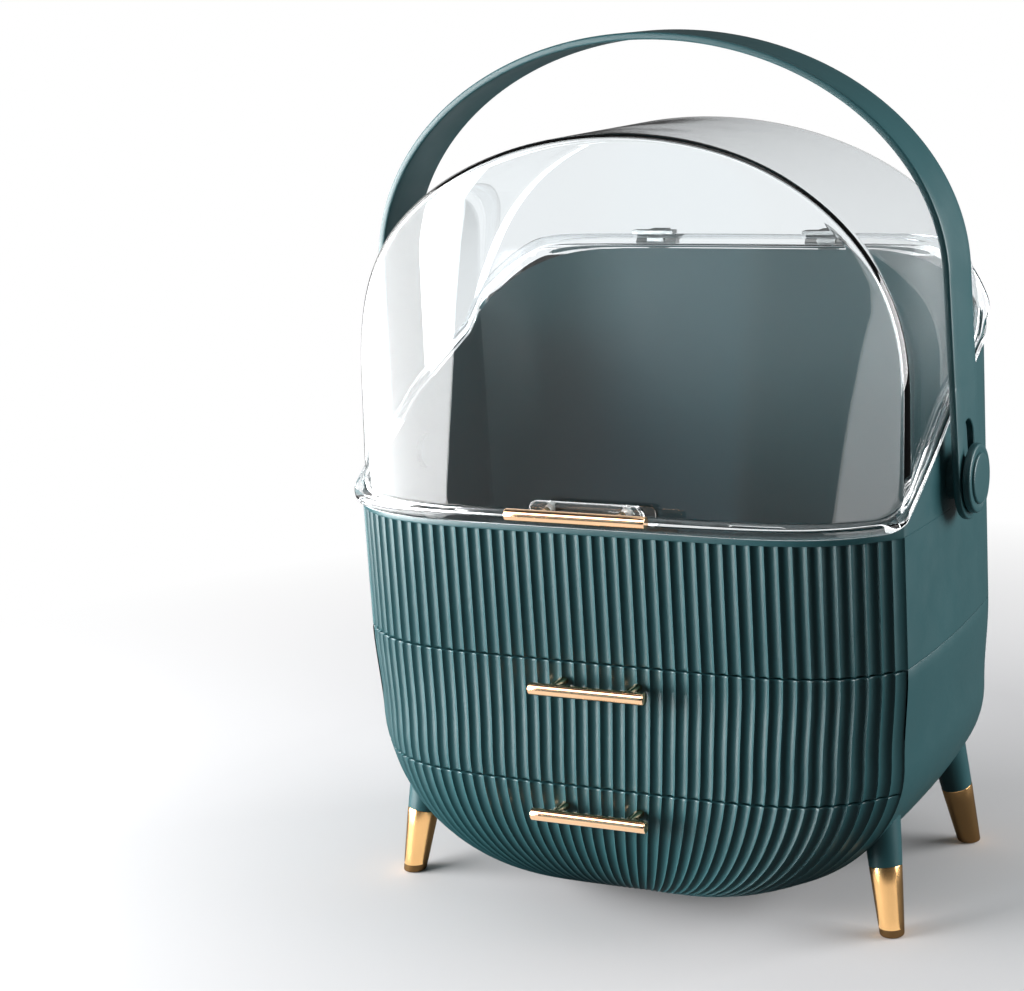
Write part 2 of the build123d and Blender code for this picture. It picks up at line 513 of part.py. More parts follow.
for side, sx in (("left", -1), ("right", 1)):
    def along(radius, x0, x1):
        return cyl_x(radius, sx * x0, sx * x1, PIVOT_Y, PIVOT_Z)
    parts[f"handle_spacer_{side}"] = along(SPACER_RADIUS, HALF_WIDTH, SPACER_X) - along(SHANK_RADIUS + SHANK_FIT, HALF_WIDTH - 10, BUTTON_X + 10)
    inside = HALF_WIDTH - WALL - 0.4
    parts[f"pivot_bolt_{side}"] = along(9.0, inside - 3, inside) + along(SHANK_RADIUS, inside - 1, BUTTON_X + 2)
    parts[f"slot_bush_{side}"] = along(SLOT_HALF - 0.1, SPACER_X + 0.1, BUTTON_X - 0.05) - along(SHANK_RADIUS, HALF_WIDTH - 10, BUTTON_X + 10)
    button = along(BUTTON_RADIUS, BUTTON_X, BUTTON_X + BUTTON_THICK)
    button += along(BUTTON_RADIUS - 3.5, BUTTON_X + 1, BUTTON_X + BUTTON_THICK + BUTTON_RING)
    button -= along(SHANK_RADIUS, HALF_WIDTH - 10, BUTTON_X + 2)
    parts[f"button_{side}"] = button

# Legs: a coloured stub under each corner, a plated tip on its end and a screw up from the stub
leg_screws = []
for row, sy in (("front", -1), ("back", 1)):
    for side, sx in (("left", -1), ("right", 1)):
        slope = (LEG_TOP_RADIUS - TIP_TOP_RADIUS) / (LEG_TOP_Z - TIP_HEIGHT)
        stub = leg_cone(sx, sy, TIP_HEIGHT, LEG_TOP_Z, TIP_TOP_RADIUS, LEG_TOP_RADIUS) - outer_shell
        stub = max(stub.solids(), key=lambda s: -s.center().Z)
        spigot = leg_cone(sx, sy, TIP_HEIGHT - SPIGOT_LENGTH, TIP_HEIGHT + 2, SPIGOT_RADIUS, SPIGOT_RADIUS)
        flat = box_at(-2 * FOOT_X, 2 * FOOT_X, -3 * FOOT_Y, 3 * FOOT_Y, -30, 0)
        tip = leg_cone(sx, sy, -4, TIP_HEIGHT, TIP_FOOT_RADIUS - 0.25, TIP_TOP_RADIUS)
        tip -= leg_cone(sx, sy, TIP_HEIGHT - SPIGOT_LENGTH - 1, TIP_HEIGHT + 2, SPIGOT_RADIUS, SPIGOT_RADIUS)
        screw = leg_cone(sx, sy, TIP_HEIGHT + 8, 55, 1.6, 1.6)
        head = leg_cone(sx, sy, 53.0, 55.5, 3.6, 3.6)
        stub = stub + spigot - leg_cone(sx, sy, TIP_HEIGHT + 7, 60, 1.6, 1.6)
        lower -= leg_cone(sx, sy, TIP_HEIGHT, 53.0, 1.75, 1.75)
        lower -= leg_cone(sx, sy, 52.9, 58.0, 4.0, 4.0)
        parts[f"leg_{row}_{side}"] = stub
        parts[f"leg_tip_{row}_{side}"] = tip - flat
        leg_screws.append(screw + head)
parts["leg_screws"] = Compound(leg_screws)
parts["upper_case"], parts["lower_case"] = upper, lower

# The origin is on the ground under the middle of the whole part, pulls and hinges included
front_reach = half_depth(SEAM_LOW_Z - PULL_DROP) + STANDOFF + BAR_RADIUS
back_reach = HINGE_Y + KNUCKLE_RADIUS
to_origin = Pos(0, (front_reach - back_reach) / 2, 0)
print(f"moved back by {(front_reach - back_reach) / 2:.3f} mm")
for name, shape in parts.items():
    export_step(to_origin * shape, f"parts/{name}.step")
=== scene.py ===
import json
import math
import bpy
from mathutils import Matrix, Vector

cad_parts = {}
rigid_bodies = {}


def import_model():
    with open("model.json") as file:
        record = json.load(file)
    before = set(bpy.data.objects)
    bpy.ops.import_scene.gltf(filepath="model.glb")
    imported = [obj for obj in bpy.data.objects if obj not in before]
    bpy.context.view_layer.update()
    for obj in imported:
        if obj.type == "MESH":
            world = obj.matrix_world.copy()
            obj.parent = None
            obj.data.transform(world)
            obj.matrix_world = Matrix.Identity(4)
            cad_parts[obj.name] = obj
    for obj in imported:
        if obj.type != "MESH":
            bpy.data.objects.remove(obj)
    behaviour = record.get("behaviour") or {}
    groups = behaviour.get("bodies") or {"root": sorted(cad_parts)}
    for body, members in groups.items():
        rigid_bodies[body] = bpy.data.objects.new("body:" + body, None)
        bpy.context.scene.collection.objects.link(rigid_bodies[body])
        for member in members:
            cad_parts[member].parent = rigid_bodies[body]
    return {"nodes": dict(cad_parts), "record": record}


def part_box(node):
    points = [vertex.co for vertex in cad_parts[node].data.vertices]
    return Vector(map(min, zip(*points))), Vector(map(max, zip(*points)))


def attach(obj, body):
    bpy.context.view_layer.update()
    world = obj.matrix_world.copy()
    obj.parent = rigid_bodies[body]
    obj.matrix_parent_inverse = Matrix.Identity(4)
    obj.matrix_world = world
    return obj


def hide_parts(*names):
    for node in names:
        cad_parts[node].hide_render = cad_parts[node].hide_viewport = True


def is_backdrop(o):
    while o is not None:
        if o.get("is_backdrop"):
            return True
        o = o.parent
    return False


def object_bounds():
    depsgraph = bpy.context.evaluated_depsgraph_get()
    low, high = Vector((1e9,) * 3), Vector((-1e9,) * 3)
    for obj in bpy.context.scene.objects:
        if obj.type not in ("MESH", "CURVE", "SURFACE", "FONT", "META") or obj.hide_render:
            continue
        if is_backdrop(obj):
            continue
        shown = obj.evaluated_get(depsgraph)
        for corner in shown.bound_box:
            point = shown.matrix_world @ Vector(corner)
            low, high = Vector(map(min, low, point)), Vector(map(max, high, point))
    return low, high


bl_info = {
    "name": "Makeup Organizer",
    "version": (1, 0, 0),
    "blender": (4, 5, 0),
    "location": "3D View > Sidebar > Organizer",
    "description": "Ribbed makeup organizer with two drawers, a clear domed lid and a carrying handle",
    "category": "Object",
}

import bmesh
import bpy
import numpy as np
from bpy.props import FloatProperty, FloatVectorProperty, IntProperty, PointerProperty
from mathutils import Matrix, Vector

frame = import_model()
CAD_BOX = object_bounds()


def box_mm(node):
    """Lowest and highest corner of a node of the frame, in millimetres."""
    low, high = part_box(node)
    return np.array(low) * 1000.0, np.array(high) * 1000.0


# Shapes are worked out in millimetres about the middle of the case and then moved back by SHIFT_Y.
HANDLE_LOW, HANDLE_HIGH = box_mm("handle")
PIVOT_Y = -1.0
SHIFT_Y = (HANDLE_LOW[1] + HANDLE_HIGH[1]) / 2 - PIVOT_Y

# Plan of the case: the corners move back by CORNER_FOLLOW of an inset
CASE_HALF_WIDTH, CORNER_INSET, CORNER_Y, CORNER_FOLLOW = 150.0, 3.0, 65.0, 0.4
CASE_HALF_DEPTH, BULGE_POWER = 96.5, 6
WALL, FRONT_WALL, DRAWER_GAP, TRAY_FILLET = 3.0, 4.0, 0.4, 4.0
SIDE_COLUMNS, BACK_COLUMNS = 25, 61

# Heights of the case
BOTTOM_Z, SEAM_LOW_Z, SEAM_HIGH_Z, RIB_TOP_Z = 13.0, 73.6, 136.0, 200.0
RIM_FRONT_Z, RIM_BACK_Z = 203.5, 315.0
RIM_POINTS = (
    (-140.0, RIM_FRONT_Z),
    (-72.0, RIM_FRONT_Z),
    (0.0, 248.6),
    (54.0, 270.5),
    (93.0, RIM_BACK_Z),
    (140.0, RIM_BACK_Z),
)
RIM_RADIUS = 10.0

# Rounding of the lower case
ROUND_TOP_Z, ROUND_HALF_WIDTH, ROUND_REACH = 89.0, 147.0, 100.0
ROLL_TOP_Z, ROLL_HALF_DEPTH, ROLL_REACH = 58.0, 102.5, 27.5

# Ribs
RIB_COUNT, RIB_DEPTH, RIB_SET_BACK = 46, 1.9, 0.3

# Lid
LID_GAP = 0.3
DOME_HALF_WIDTH, DOME_SPRING_Z, DOME_RISE, DOME_POWER = 147.6, 261.1, 125.7, 2.5
DOME_FOOT_DEPTH, DOME_FOOT_CORNER_Y = 94.0, 62.5
DOME_TOP_DEPTH, DOME_TOP_SIDE_DEPTH, DOME_TENT_TOP = 56.6, 50.0, 391.8
FLANGE_HALF_WIDTH, FLANGE_CORNER_X, FLANGE_CORNER_Y, FLANGE_HALF_DEPTH = 152.6, 149.8, 68.0, 101.5
TAB_HALF, TAB_TOP_Z, TAB_CORNER = 30.0, 217.0, 4.0
TAB_SECTION = (
    (-101.6, None),
    (-101.6, 0.9),
    (-101.35, 0.25),
    (-100.8, 0),
    (-98.4, 0),
    (-97.85, 0.25),
    (-97.6, 0.9),
    (-97.6, None),
)

# Handle
HANDLE_HALF, HANDLE_SPRING_Z, HANDLE_RISE, HANDLE_WIDTH, HANDLE_THICK = 156.4, 313.8, 118.7, 34.7, 3.6
HANDLE_SPLAY, HANDLE_END_Z, HANDLE_JOIN_Z, HANDLE_EDGE = 0.03, 212.0, 262.0, 0.9
SLOT_HALF, SLOT_LOW_Z, SLOT_HIGH_Z, SLOT_EDGE, PIVOT_Z = 8.0, 214.8, 236.0, 0.4, 215.1
BUTTON_RADIUS, BUTTON_X, BUTTON_THICK, BUTTON_EDGE = 17.0, 160.3, 3.8, 1.1
DISC_RADIUS, DISC_EDGE, GROOVE_RADIUS, GROOVE_DEPTH = 12.6, 1.0, 13.9, 0.25

# Pulls
BAR_EDGE = 0.7

# Legs: heights and radii of a tip, and how far a leg leans for each millimetre of height
FOOT_X, FOOT_Y, TIP_HEIGHT = 134.5, 63.0, 33.0
LEAN_X, LEAN_Y = -4.5 / 33.0, 6.0 / 33.0
TIP_Z = (0, 0, 0.12, 0.45, 1, 8, 16, 24, TIP_HEIGHT - 0.5, TIP_HEIGHT - 0.12, TIP_HEIGHT, TIP_HEIGHT)
TIP_RADIUS = (0, 5.1, 5.6, 5.95, 6.12, 6.62, 7.12, 7.62, 8.15, 8.05, 7.7, 0)

# Photograph's frame in pixels and its camera: azimuth, elevation and roll in degrees, place in millimetres,
# focal length and centre in pixels
PHOTO_WIDTH, PHOTO_HEIGHT, SENSOR = 1024, 991, 36.0
CAMERA_ANGLES, CAMERA_PLACE = (24.1, 12.95, -2.62), (473.8, -1006.3, 457.5)
CAMERA_FOCAL, CAMERA_CENTRE = 2214.6, (716.3, 485.3)

# Lamps, and cards that only some pieces see: place, target and size in metres, the setting that gives their
# brightness, how many times it, and the pieces that see them
LAMPS = (
    ("lamp_left", (-0.92, -0.56, 0.27), (0, 0, 0.15), (1.0, 0.58), "left_lamp", 1, "all_but_lid"),
    ("lamp_left_wall", (-1.40, 0.75, 0.60), (0, 0, 0.22), (1.8, 1.2), "left_wall", 1, "all"),
    ("lamp_right", (1.36, 0.55, 0.50), (0, 0, 0.25), (1.2, 0.8), "right_lamp", 1, "all"),
    ("lamp_top", (0.1, 0.1, 1.9), (0, 0, 0.2), (1.4, 1.2), "top_lamp", 1, "all"),
    ("card_lid_left", (-0.66, -0.26, 0.30), (0, 0, 0.25), (0.8, 0.9), "lid_left_card", 1, "lid"),
    ("card_lid_right", (1.23, -0.86, 0.42), (0, 0, 0.25), (1.7, 1.2), "lid_card", 1, "lid"),
    ("card_gold_low", (0.10, -0.46, 0.004), (0.10, -0.46, 1.0), (1.6, 0.8), "gold_card", 1, "gold"),
    ("card_gold_high", (0.20, -0.75, 1.00), (0, 0, 0.10), (1.6, 0.50), "gold_card", 2, "gold"),
    ("card_bars", (-0.30, -0.80, 0.85), (0, -0.1, 0.12), (1.4, 0.45), "gold_card", 6, "bars"),
)
FLOOR_COLOUR, FLOOR_HALF, FLOOR_Z = (0.6, 0.6, 0.61), 6, -0.0003
WINDOW_COLOUR = (0.45, 0.8, 1.0)


def smooth(k):
    """A step from 0 to 1 with flat ends: k^2 (3 - 2 k)."""
    k = np.clip(k, 0.0, 1.0)
    return k * k * (3 - 2 * k)


def eased(count):
    """Numbers from -1 to 1 that crowd together at both ends: the sine of even steps."""
    return np.sin(np.linspace(-math.pi / 2, math.pi / 2, count))


def soft_line(points, radius, count=10):
    """A polyline whose corners are parabolas: each starts and ends radius * tan(half the turn) from its
    corner."""
    pts = np.array(points, float)
    out = [pts[:1]]
    for a, p, b in zip(pts, pts[1:], pts[2:]):
        d1, d2 = (p - a) / np.linalg.norm(p - a), (b - p) / np.linalg.norm(b - p)
        turn = math.acos(max(-1.0, min(1.0, float(d1 @ d2))))
        reach = radius * math.tan(turn / 2)
        t = np.linspace(0, 1, count)[:, None]
        out.append((1 - t) ** 2 * (p - d1 * reach) + 2 * t * (1 - t) * p + t**2 * (p + d2 * reach))
    out.append(pts[-1:])
    return np.vstack(out)


RIM_LINE = soft_line(RIM_POINTS, RIM_RADIUS)


def rim_z(y):
    """Height of the case rim at depth y."""
    return np.interp(y, RIM_LINE[:, 0], RIM_LINE[:, 1])


def reach_at(z, inset, start_z, start_reach, curve_reach, full_reach):
    """Reach of the case at height z, moved in by inset. Below start_z it is a quarter ellipse, curve_reach
    wide, and above it a smooth step leads from start_reach to full_reach at the tray's seam."""
    z = np.asarray(z, float)
    step = smooth((z - start_z) / (SEAM_HIGH_Z - start_z))
    upper = start_reach + (full_reach - start_reach) * step - inset
    drop = np.clip((start_z - z) / (start_z - BOTTOM_Z - inset), 0, 1)
    lower = start_reach - curve_reach + (curve_reach - inset) * np.sqrt(1 - drop * drop)
    return np.where(z >= start_z, upper, lower)


def half_width(z, inset):
    """Half width of the case at height z."""
    return reach_at(z, inset, ROUND_TOP_Z, ROUND_HALF_WIDTH, ROUND_REACH, CASE_HALF_WIDTH)


def half_depth(z, inset):
    """Half depth of the case at height z, on its middle line."""
    return reach_at(z, inset, ROLL_TOP_Z, ROLL_HALF_DEPTH, ROLL_REACH, CASE_HALF_DEPTH)


def bulge(u, depth, corner_y):
    """Depth of the bulged front or back at u from -1 to 1: corner_y + (depth - corner_y)(1 -
    |u|^BULGE_POWER)."""
    return corner_y + (depth - corner_y) * (1 - np.abs(u) ** BULGE_POWER)


def rib_columns(samples):
    """u of every column of the ribbed front, how far each lies behind the rib crests as a part of the rib
    depth, and a ramp from 0 to 1 over the outermost ribs. Between two crests the front is hollow: a
    circular arc that at angle a from its deepest point lies R (1 - cos a) nearer the crests, with R from
    pitch and depth. The outermost hollows are half as deep."""
    fine = np.linspace(-1, 1, 4001)
    y = bulge(fine, CASE_HALF_DEPTH, CORNER_Y)
    step = np.hypot(np.diff(fine) * (CASE_HALF_WIDTH - CORNER_INSET), np.diff(y))
    run = np.concatenate([[0], np.cumsum(step)])
    pitch = run[-1] / RIB_COUNT
    radius = (pitch**2 / 4 + RIB_DEPTH**2) / (2 * RIB_DEPTH)
    widest = math.asin(pitch / 2 / radius)
    angle = np.linspace(-widest, widest, samples + 1)
    across = 0.5 + 0.5 * np.sin(angle) / math.sin(widest)
    behind = 1 - radius * (1 - np.cos(angle)) / RIB_DEPTH
    where = (np.arange(RIB_COUNT)[:, None] + across[None, :-1]).ravel() / RIB_COUNT
    depth = np.tile(behind[:-1], RIB_COUNT)
    where, depth = np.append(where, 1.0), np.append(depth, 0.0)
    depth[:samples] *= 0.5
    depth[-samples - 1 :] *= 0.5
    set_back = np.clip(np.minimum(where, 1 - where) * RIB_COUNT, 0, 1)
    return np.interp(where, run / run[-1], fine), depth, set_back


def front_point(u, dig, corner_x, depth, corner_y=CORNER_Y):
    """A point of the bulged front, moved dig millimetres back along the curve's normal."""
    slope = (depth - corner_y) * BULGE_POWER * np.abs(u) ** (BULGE_POWER - 1) / corner_x * np.sign(u)
    length = np.hypot(slope, 1)
    return corner_x * u - dig * slope / length, -bulge(u, depth, corner_y) + dig / length


def side_arc(width, corner_x, corner_y, t):
    """The bowed side at t from -1 (front corner) to 1 (back corner): x = width - (width - corner_x) t^2."""
    return width - (width - corner_x) * t * t, corner_y * t


def grid(x, y, z):
    """Points of a surface, from coordinates that are each given for all of it, or for its rows or
    columns."""
    x, y, z = np.broadcast_arrays(x, y, z)
    return np.stack([x, y, z], axis=-1).astype(float)


def quads(rows, columns, wrap_rows, wrap_columns, first):
    """Corner numbers of the faces between neighbouring points of a grid."""
    r = np.arange(rows if wrap_rows else rows - 1)[:, None]
    c = np.arange(columns if wrap_columns else columns - 1)[None, :]
    r2, c2 = (r + 1) % rows, (c + 1) % columns
    corners = (r * columns + c, r * columns + c2, r2 * columns + c2, r2 * columns + c)
    return (first + np.stack(np.broadcast_arrays(*corners), axis=-1)).reshape(-1, 4)


def put_mesh(name, surfaces, material, body, replaces=(), sharp=35.0, weld=0.004):
    """Makes one closed piece of surfaces, each (grid in mm, wraps over rows, wraps over columns), and lets
    it ride on its body."""
    points, faces, first = [], [], 0
    for surface, wrap_rows, wrap_columns in surfaces:
        rows, columns = surface.shape[:2]
        points.append(surface.reshape(-1, 3))
        faces.append(quads(rows, columns, wrap_rows, wrap_columns, first))
        first += rows * columns
    points = (np.vstack(points) + [0.0, SHIFT_Y, 0.0]) * 0.001
    mesh = bpy.data.meshes.new(name)
    mesh.from_pydata(points.tolist(), [], np.vstack(faces).tolist())
    work = bmesh.new()
    work.from_mesh(mesh)
    bmesh.ops.remove_doubles(work, verts=work.verts, dist=weld * 0.001)
    bmesh.ops.dissolve_degenerate(work, dist=1e-7, edges=work.edges)
    bmesh.ops.recalc_face_normals(work, faces=work.faces)
    work.to_mesh(mesh)
    work.free()
    mesh.polygons.foreach_set("use_smooth", np.ones(len(mesh.polygons), bool))
    mesh.set_sharp_from_angle(angle=math.radians(sharp))
    mesh.materials.append(material)
    piece = bpy.data.objects.new(name, mesh)
    bpy.context.scene.collection.objects.link(piece)
    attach(piece, body)
    if replaces:
        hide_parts(*replaces)
    return piece


def thick_sheet(outer, inner):
    """Closes two sheets of the same grid into one wall: over the first and last rows, and at both end
    columns."""
    around = np.concatenate([outer, inner[::-1]], axis=0)
    ends = [(np.stack([outer[:, k], inner[:, k]], axis=1), False, False) for k in (0, -1)]
    return [(around, True, False), *ends]


def turned(profile, centre, axis, segments=64):
    """A profile of (radius, distance along the axis) turned about the axis through centre."""
    axis = np.array(axis, float) / np.linalg.norm(axis)
    aside = np.cross(axis, [0.0, 0.0, 1.0] if abs(axis[2]) < 0.9 else [1.0, 0.0, 0.0])
    aside /= np.linalg.norm(aside)
    third = np.cross(axis, aside)
    angle = np.linspace(0, 2 * math.pi, segments, endpoint=False)
    ring = np.cos(angle)[:, None] * aside + np.sin(angle)[:, None] * third
    r, h = np.array(profile, float).T
    return np.array(centre) + r[:, None, None] * ring[None] + h[:, None, None] * axis, False, True


def round_end(radius, length, edge, steps=5):
    """Profile of a bar from its middle line at -length to length, its two rims rounded by edge."""
    a = np.linspace(0, math.pi / 2, steps)
    rim = np.stack([radius - edge + edge * np.sin(a), -length + edge - edge * np.cos(a)], axis=1)
    body = np.stack([np.full(9, radius), np.linspace(-length + edge, length - edge, 11)[1:-1]], axis=1)
    other = rim[::-1] * [1, -1]
    return np.vstack([[[0, -length]], rim, body, other, [[0, length]]])


# Finishes


def new_material(name):
    material = bpy.data.materials.new(name)
    material.use_nodes = True
    tree = material.node_tree
    tree.nodes.clear()
    output = tree.nodes.new("ShaderNodeOutputMaterial")
    shader = tree.nodes.new("ShaderNodeBsdfPrincipled")
    tree.links.new(shader.outputs[0], output.inputs[0])
    return material, tree, shader, output


def object_noise(tree, scale, detail, stretch=(1, 1, 1)):
    """Noise over the piece's own coordinates, stretched along an axis where stretch is below 1."""
    where = tree.nodes.new("ShaderNodeTexCoord")
    mapping = tree.nodes.new("ShaderNodeMapping")
    mapping.inputs["Scale"].default_value = stretch
    noise = tree.nodes.new("ShaderNodeTexNoise")
    noise.inputs["Scale"].default_value = scale
    noise.inputs["Detail"].default_value = detail
    tree.links.new(where.outputs["Object"], mapping.inputs["Vector"])
    tree.links.new(mapping.outputs["Vector"], noise.inputs["Vector"])
    return noise.outputs["Fac"]


def ramp_value(tree, source, low, high, start=0.3, end=0.7, steps="LINEAR"):
    """A value that runs from low to high while its source runs from start to end."""
    node = tree.nodes.new("ShaderNodeMapRange")
    node.interpolation_type = steps
    node.inputs["From Min"].default_value, node.inputs["From Max"].default_value = start, end
    node.inputs["To Min"].default_value, node.inputs["To Max"].default_value = low, high
    tree.links.new(source, node.inputs["Value"])
    return node.outputs["Result"]


def maths(tree, operation, *values, clamp=False):
    """One sum over sockets and plain numbers."""
    node = tree.nodes.new("ShaderNodeMath")
    node.operation, node.use_clamp = operation, clamp
    for slot, value in zip(node.inputs, values):
        if isinstance(value, float):
            slot.default_value = value
        else:
            tree.links.new(value, slot)
    return node.outputs[0]


def mix_colours(tree, factor, a, b):
    node = tree.nodes.new("ShaderNodeMix")
    node.data_type = "RGBA"
    node.inputs[6].default_value, node.inputs[7].default_value = (*a, 1), (*b, 1)
    tree.links.new(factor, node.inputs[0])
    return node.outputs[2]


def mix_shaders(tree, factor, first, second, output):
    """Ends a material or world in first where factor is 0 and second where it is 1."""
    mix = tree.nodes.new("ShaderNodeMixShader")
    for slot, source in zip(mix.inputs, (factor, first, second)):
        tree.links.new(source, slot)
    tree.links.new(mix.outputs[0], output.inputs["Surface"])


def drifting_colour(tree, scale, colour, darker, lighter):
    """A colour that drifts slowly between darker and lighter times itself."""
    factor = ramp_value(tree, object_noise(tree, scale, 2.0), 0, 1)
    return mix_colours(tree, factor, [c * darker for c in colour], [min(1.0, c * lighter) for c in colour])


def add_bump(tree, shader, height, strength, distance):
    bump = tree.nodes.new("ShaderNodeBump")
    bump.inputs["Strength"].default_value, bump.inputs["Distance"].default_value = strength, distance
    tree.links.new(height, bump.inputs["Height"])
    tree.links.new(bump.outputs["Normal"], shader.inputs["Normal"])


def moulded_plastic(name, colour, roughness, grain):
    """Moulded plastic: a slow drift of colour and gloss, and a fine even grain."""
    material, tree, shader, _ = new_material(name)
    tree.links.new(drifting_colour(tree, 9.0, colour, 0.93, 1.07), shader.inputs["Base Color"])
    gloss = ramp_value(tree, object_noise(tree, 60.0, 4.0), roughness - 0.035, roughness + 0.035)
    tree.links.new(gloss, shader.inputs["Roughness"])
    shader.inputs["IOR"].default_value = 1.5
    add_bump(tree, shader, object_noise(tree, 950.0, 2.0), grain, 0.00006)
    return material


def polished_metal(name, colour, roughness, stretch, grain=0.08):
    """Plated or bare metal with fine lines along the piece."""
    material, tree, shader, _ = new_material(name)
    lines = object_noise(tree, 1400.0, 2.0, stretch)
    shader.inputs["Metallic"].default_value = 1.0
    tree.links.new(drifting_colour(tree, 35.0, colour, 0.95, 1.04), shader.inputs["Base Color"])
    tree.links.new(ramp_value(tree, lines, roughness * 0.9, roughness * 1.1), shader.inputs["Roughness"])
    add_bump(tree, shader, lines, grain, 0.00002)
    return material


def clear_plastic(name, tint, through):
    """Clear moulded plastic: refracts what is seen through it, and lets light through to what it covers."""
    material, tree, shader, output = new_material(name)
    shader.inputs["Base Color"].default_value = (*tint, 1)
    shader.inputs["Transmission Weight"].default_value = 1.0
    shader.inputs["IOR"].default_value = 1.47
    haze = ramp_value(tree, object_noise(tree, 25.0, 3.0), 0.0, 0.03, 0.45, 0.8)
    tree.links.new(haze, shader.inputs["Roughness"])
    add_bump(tree, shader, object_noise(tree, 18.0, 1.0), 0.05, 0.002)
    see = tree.nodes.new("ShaderNodeBsdfTransparent")
    see.inputs["Color"].default_value = (through, through, through, 1)
    path = tree.nodes.new("ShaderNodeLightPath")
    unseen = maths(tree, "MAXIMUM", path.outputs["Is Shadow Ray"], path.outputs["Is Diffuse Ray"])
    mix_shaders(tree, unseen, shader.outputs[0], see.outputs[0], output)
    return material


FINISHES = {}


def finish(name):
    """One of the organizer's finishes, all made from the look settings when the first is asked for."""
    if not FINISHES:
        make_finishes(bpy.context.scene.organizer_look)
    return FINISHES[name]


def make_finishes(look):
    """Fills FINISHES with the moulded, plated, bare and clear finishes."""
    FINISHES.update(
        green=moulded_plastic("green_plastic", look.green, look.green_roughness, 0.012),
        inside=moulded_plastic("drawer_plastic", look.drawer, 0.5, 0.16),
        gold=polished_metal("rose_gold", look.gold, 0.13, (0.02, 1, 1)),
        tip=polished_metal("gold_tip", look.tip, 0.24, (1, 1, 0.05), 0.0),
        steel=polished_metal("hinge_steel", (0.62, 0.62, 0.61), 0.32, (0.05, 1, 1)),
        clear=clear_plastic("clear_plastic", look.clear, 0.68),
    )


SLOT_FINISH = {
    "green_plastic": "green",
    "drawer_plastic": "inside",
    "gold_metal": "gold",
    "clear_plastic": "clear",
    "hinge_steel": "steel",
    "screw_steel": "steel",
}


def colour_setting(name, description, default):
    return FloatVectorProperty(
        name=name, description=description, subtype="COLOR", size=3, min=0, max=1, default=default
    )


def size_setting(name, description, low, high, default):
    description += ", in millimetres"
    return FloatProperty(name=name, description=description, min=low, max=high, default=default)


class OrganizerLook(bpy.types.PropertyGroup):
    green: colour_setting("Green plastic", "Colour of case, drawers, handle and legs", (0.022, 0.082, 0.092))
    green_roughness: FloatProperty(
        name="Green roughness",
        description="Roughness of the green plastic",
        min=0,
        max=1,
        default=0.36,
        subtype="FACTOR",
    )
    drawer: colour_setting("Drawer plastic", "Colour of drawer boxes and shelf", (0.026, 0.088, 0.098))
    gold: colour_setting("Pull metal", "Colour of the plated pulls", (0.93, 0.60, 0.36))
    tip: colour_setting("Leg tip metal", "Colour of the plated leg tips", (0.88, 0.52, 0.22))
    clear: colour_setting("Clear plastic", "Tint of the lid", (0.962, 0.985, 0.996))


class OrganizerSizes(bpy.types.PropertyGroup):
    edge: size_setting("Edge radius", "Rounding of the moulded edges", 0.1, 1.5, 0.5)
    crease: size_setting("Lid crease", "Rounding of the lid's front and back creases", 1.0, 12.0, 5.0)
    lid_wall: size_setting("Lid wall", "Wall of the clear dome", 1.0, 4.0, 2.5)
    flange: size_setting("Lid flange", "Thickness of the lid's flange", 2.0, 8.0, 5.5)
    rib_samples: IntProperty(
        name="Rib columns", description="Columns of faces across one rib", min=4, max=16, default=8
    )


# Case


def case_loop(inset, ribbed):
    """Plan of the upper case, moved in by inset: ribbed front left to right, right side, back, left
    side."""
    u, behind, set_back = rib_columns(bpy.context.scene.organizer_sizes.rib_samples)
    corner_x, corner_y = CASE_HALF_WIDTH - CORNER_INSET - inset, CORNER_Y - CORNER_FOLLOW * inset
    width, depth = CASE_HALF_WIDTH - inset, CASE_HALF_DEPTH - inset
    dig = ribbed * (behind * RIB_DEPTH + set_back * RIB_SET_BACK)
    fx, fy = front_point(u, dig, corner_x, depth, corner_y)
    t = np.linspace(-1, 1, SIDE_COLUMNS)[1:-1]
    sx, sy = side_arc(width, corner_x, corner_y, t)
    back = eased(BACK_COLUMNS)[::-1]
    bx, by = corner_x * back, bulge(back, depth, corner_y)
    return np.concatenate([fx, sx, bx, -sx]), np.concatenate([fy, sy, by, -sy])


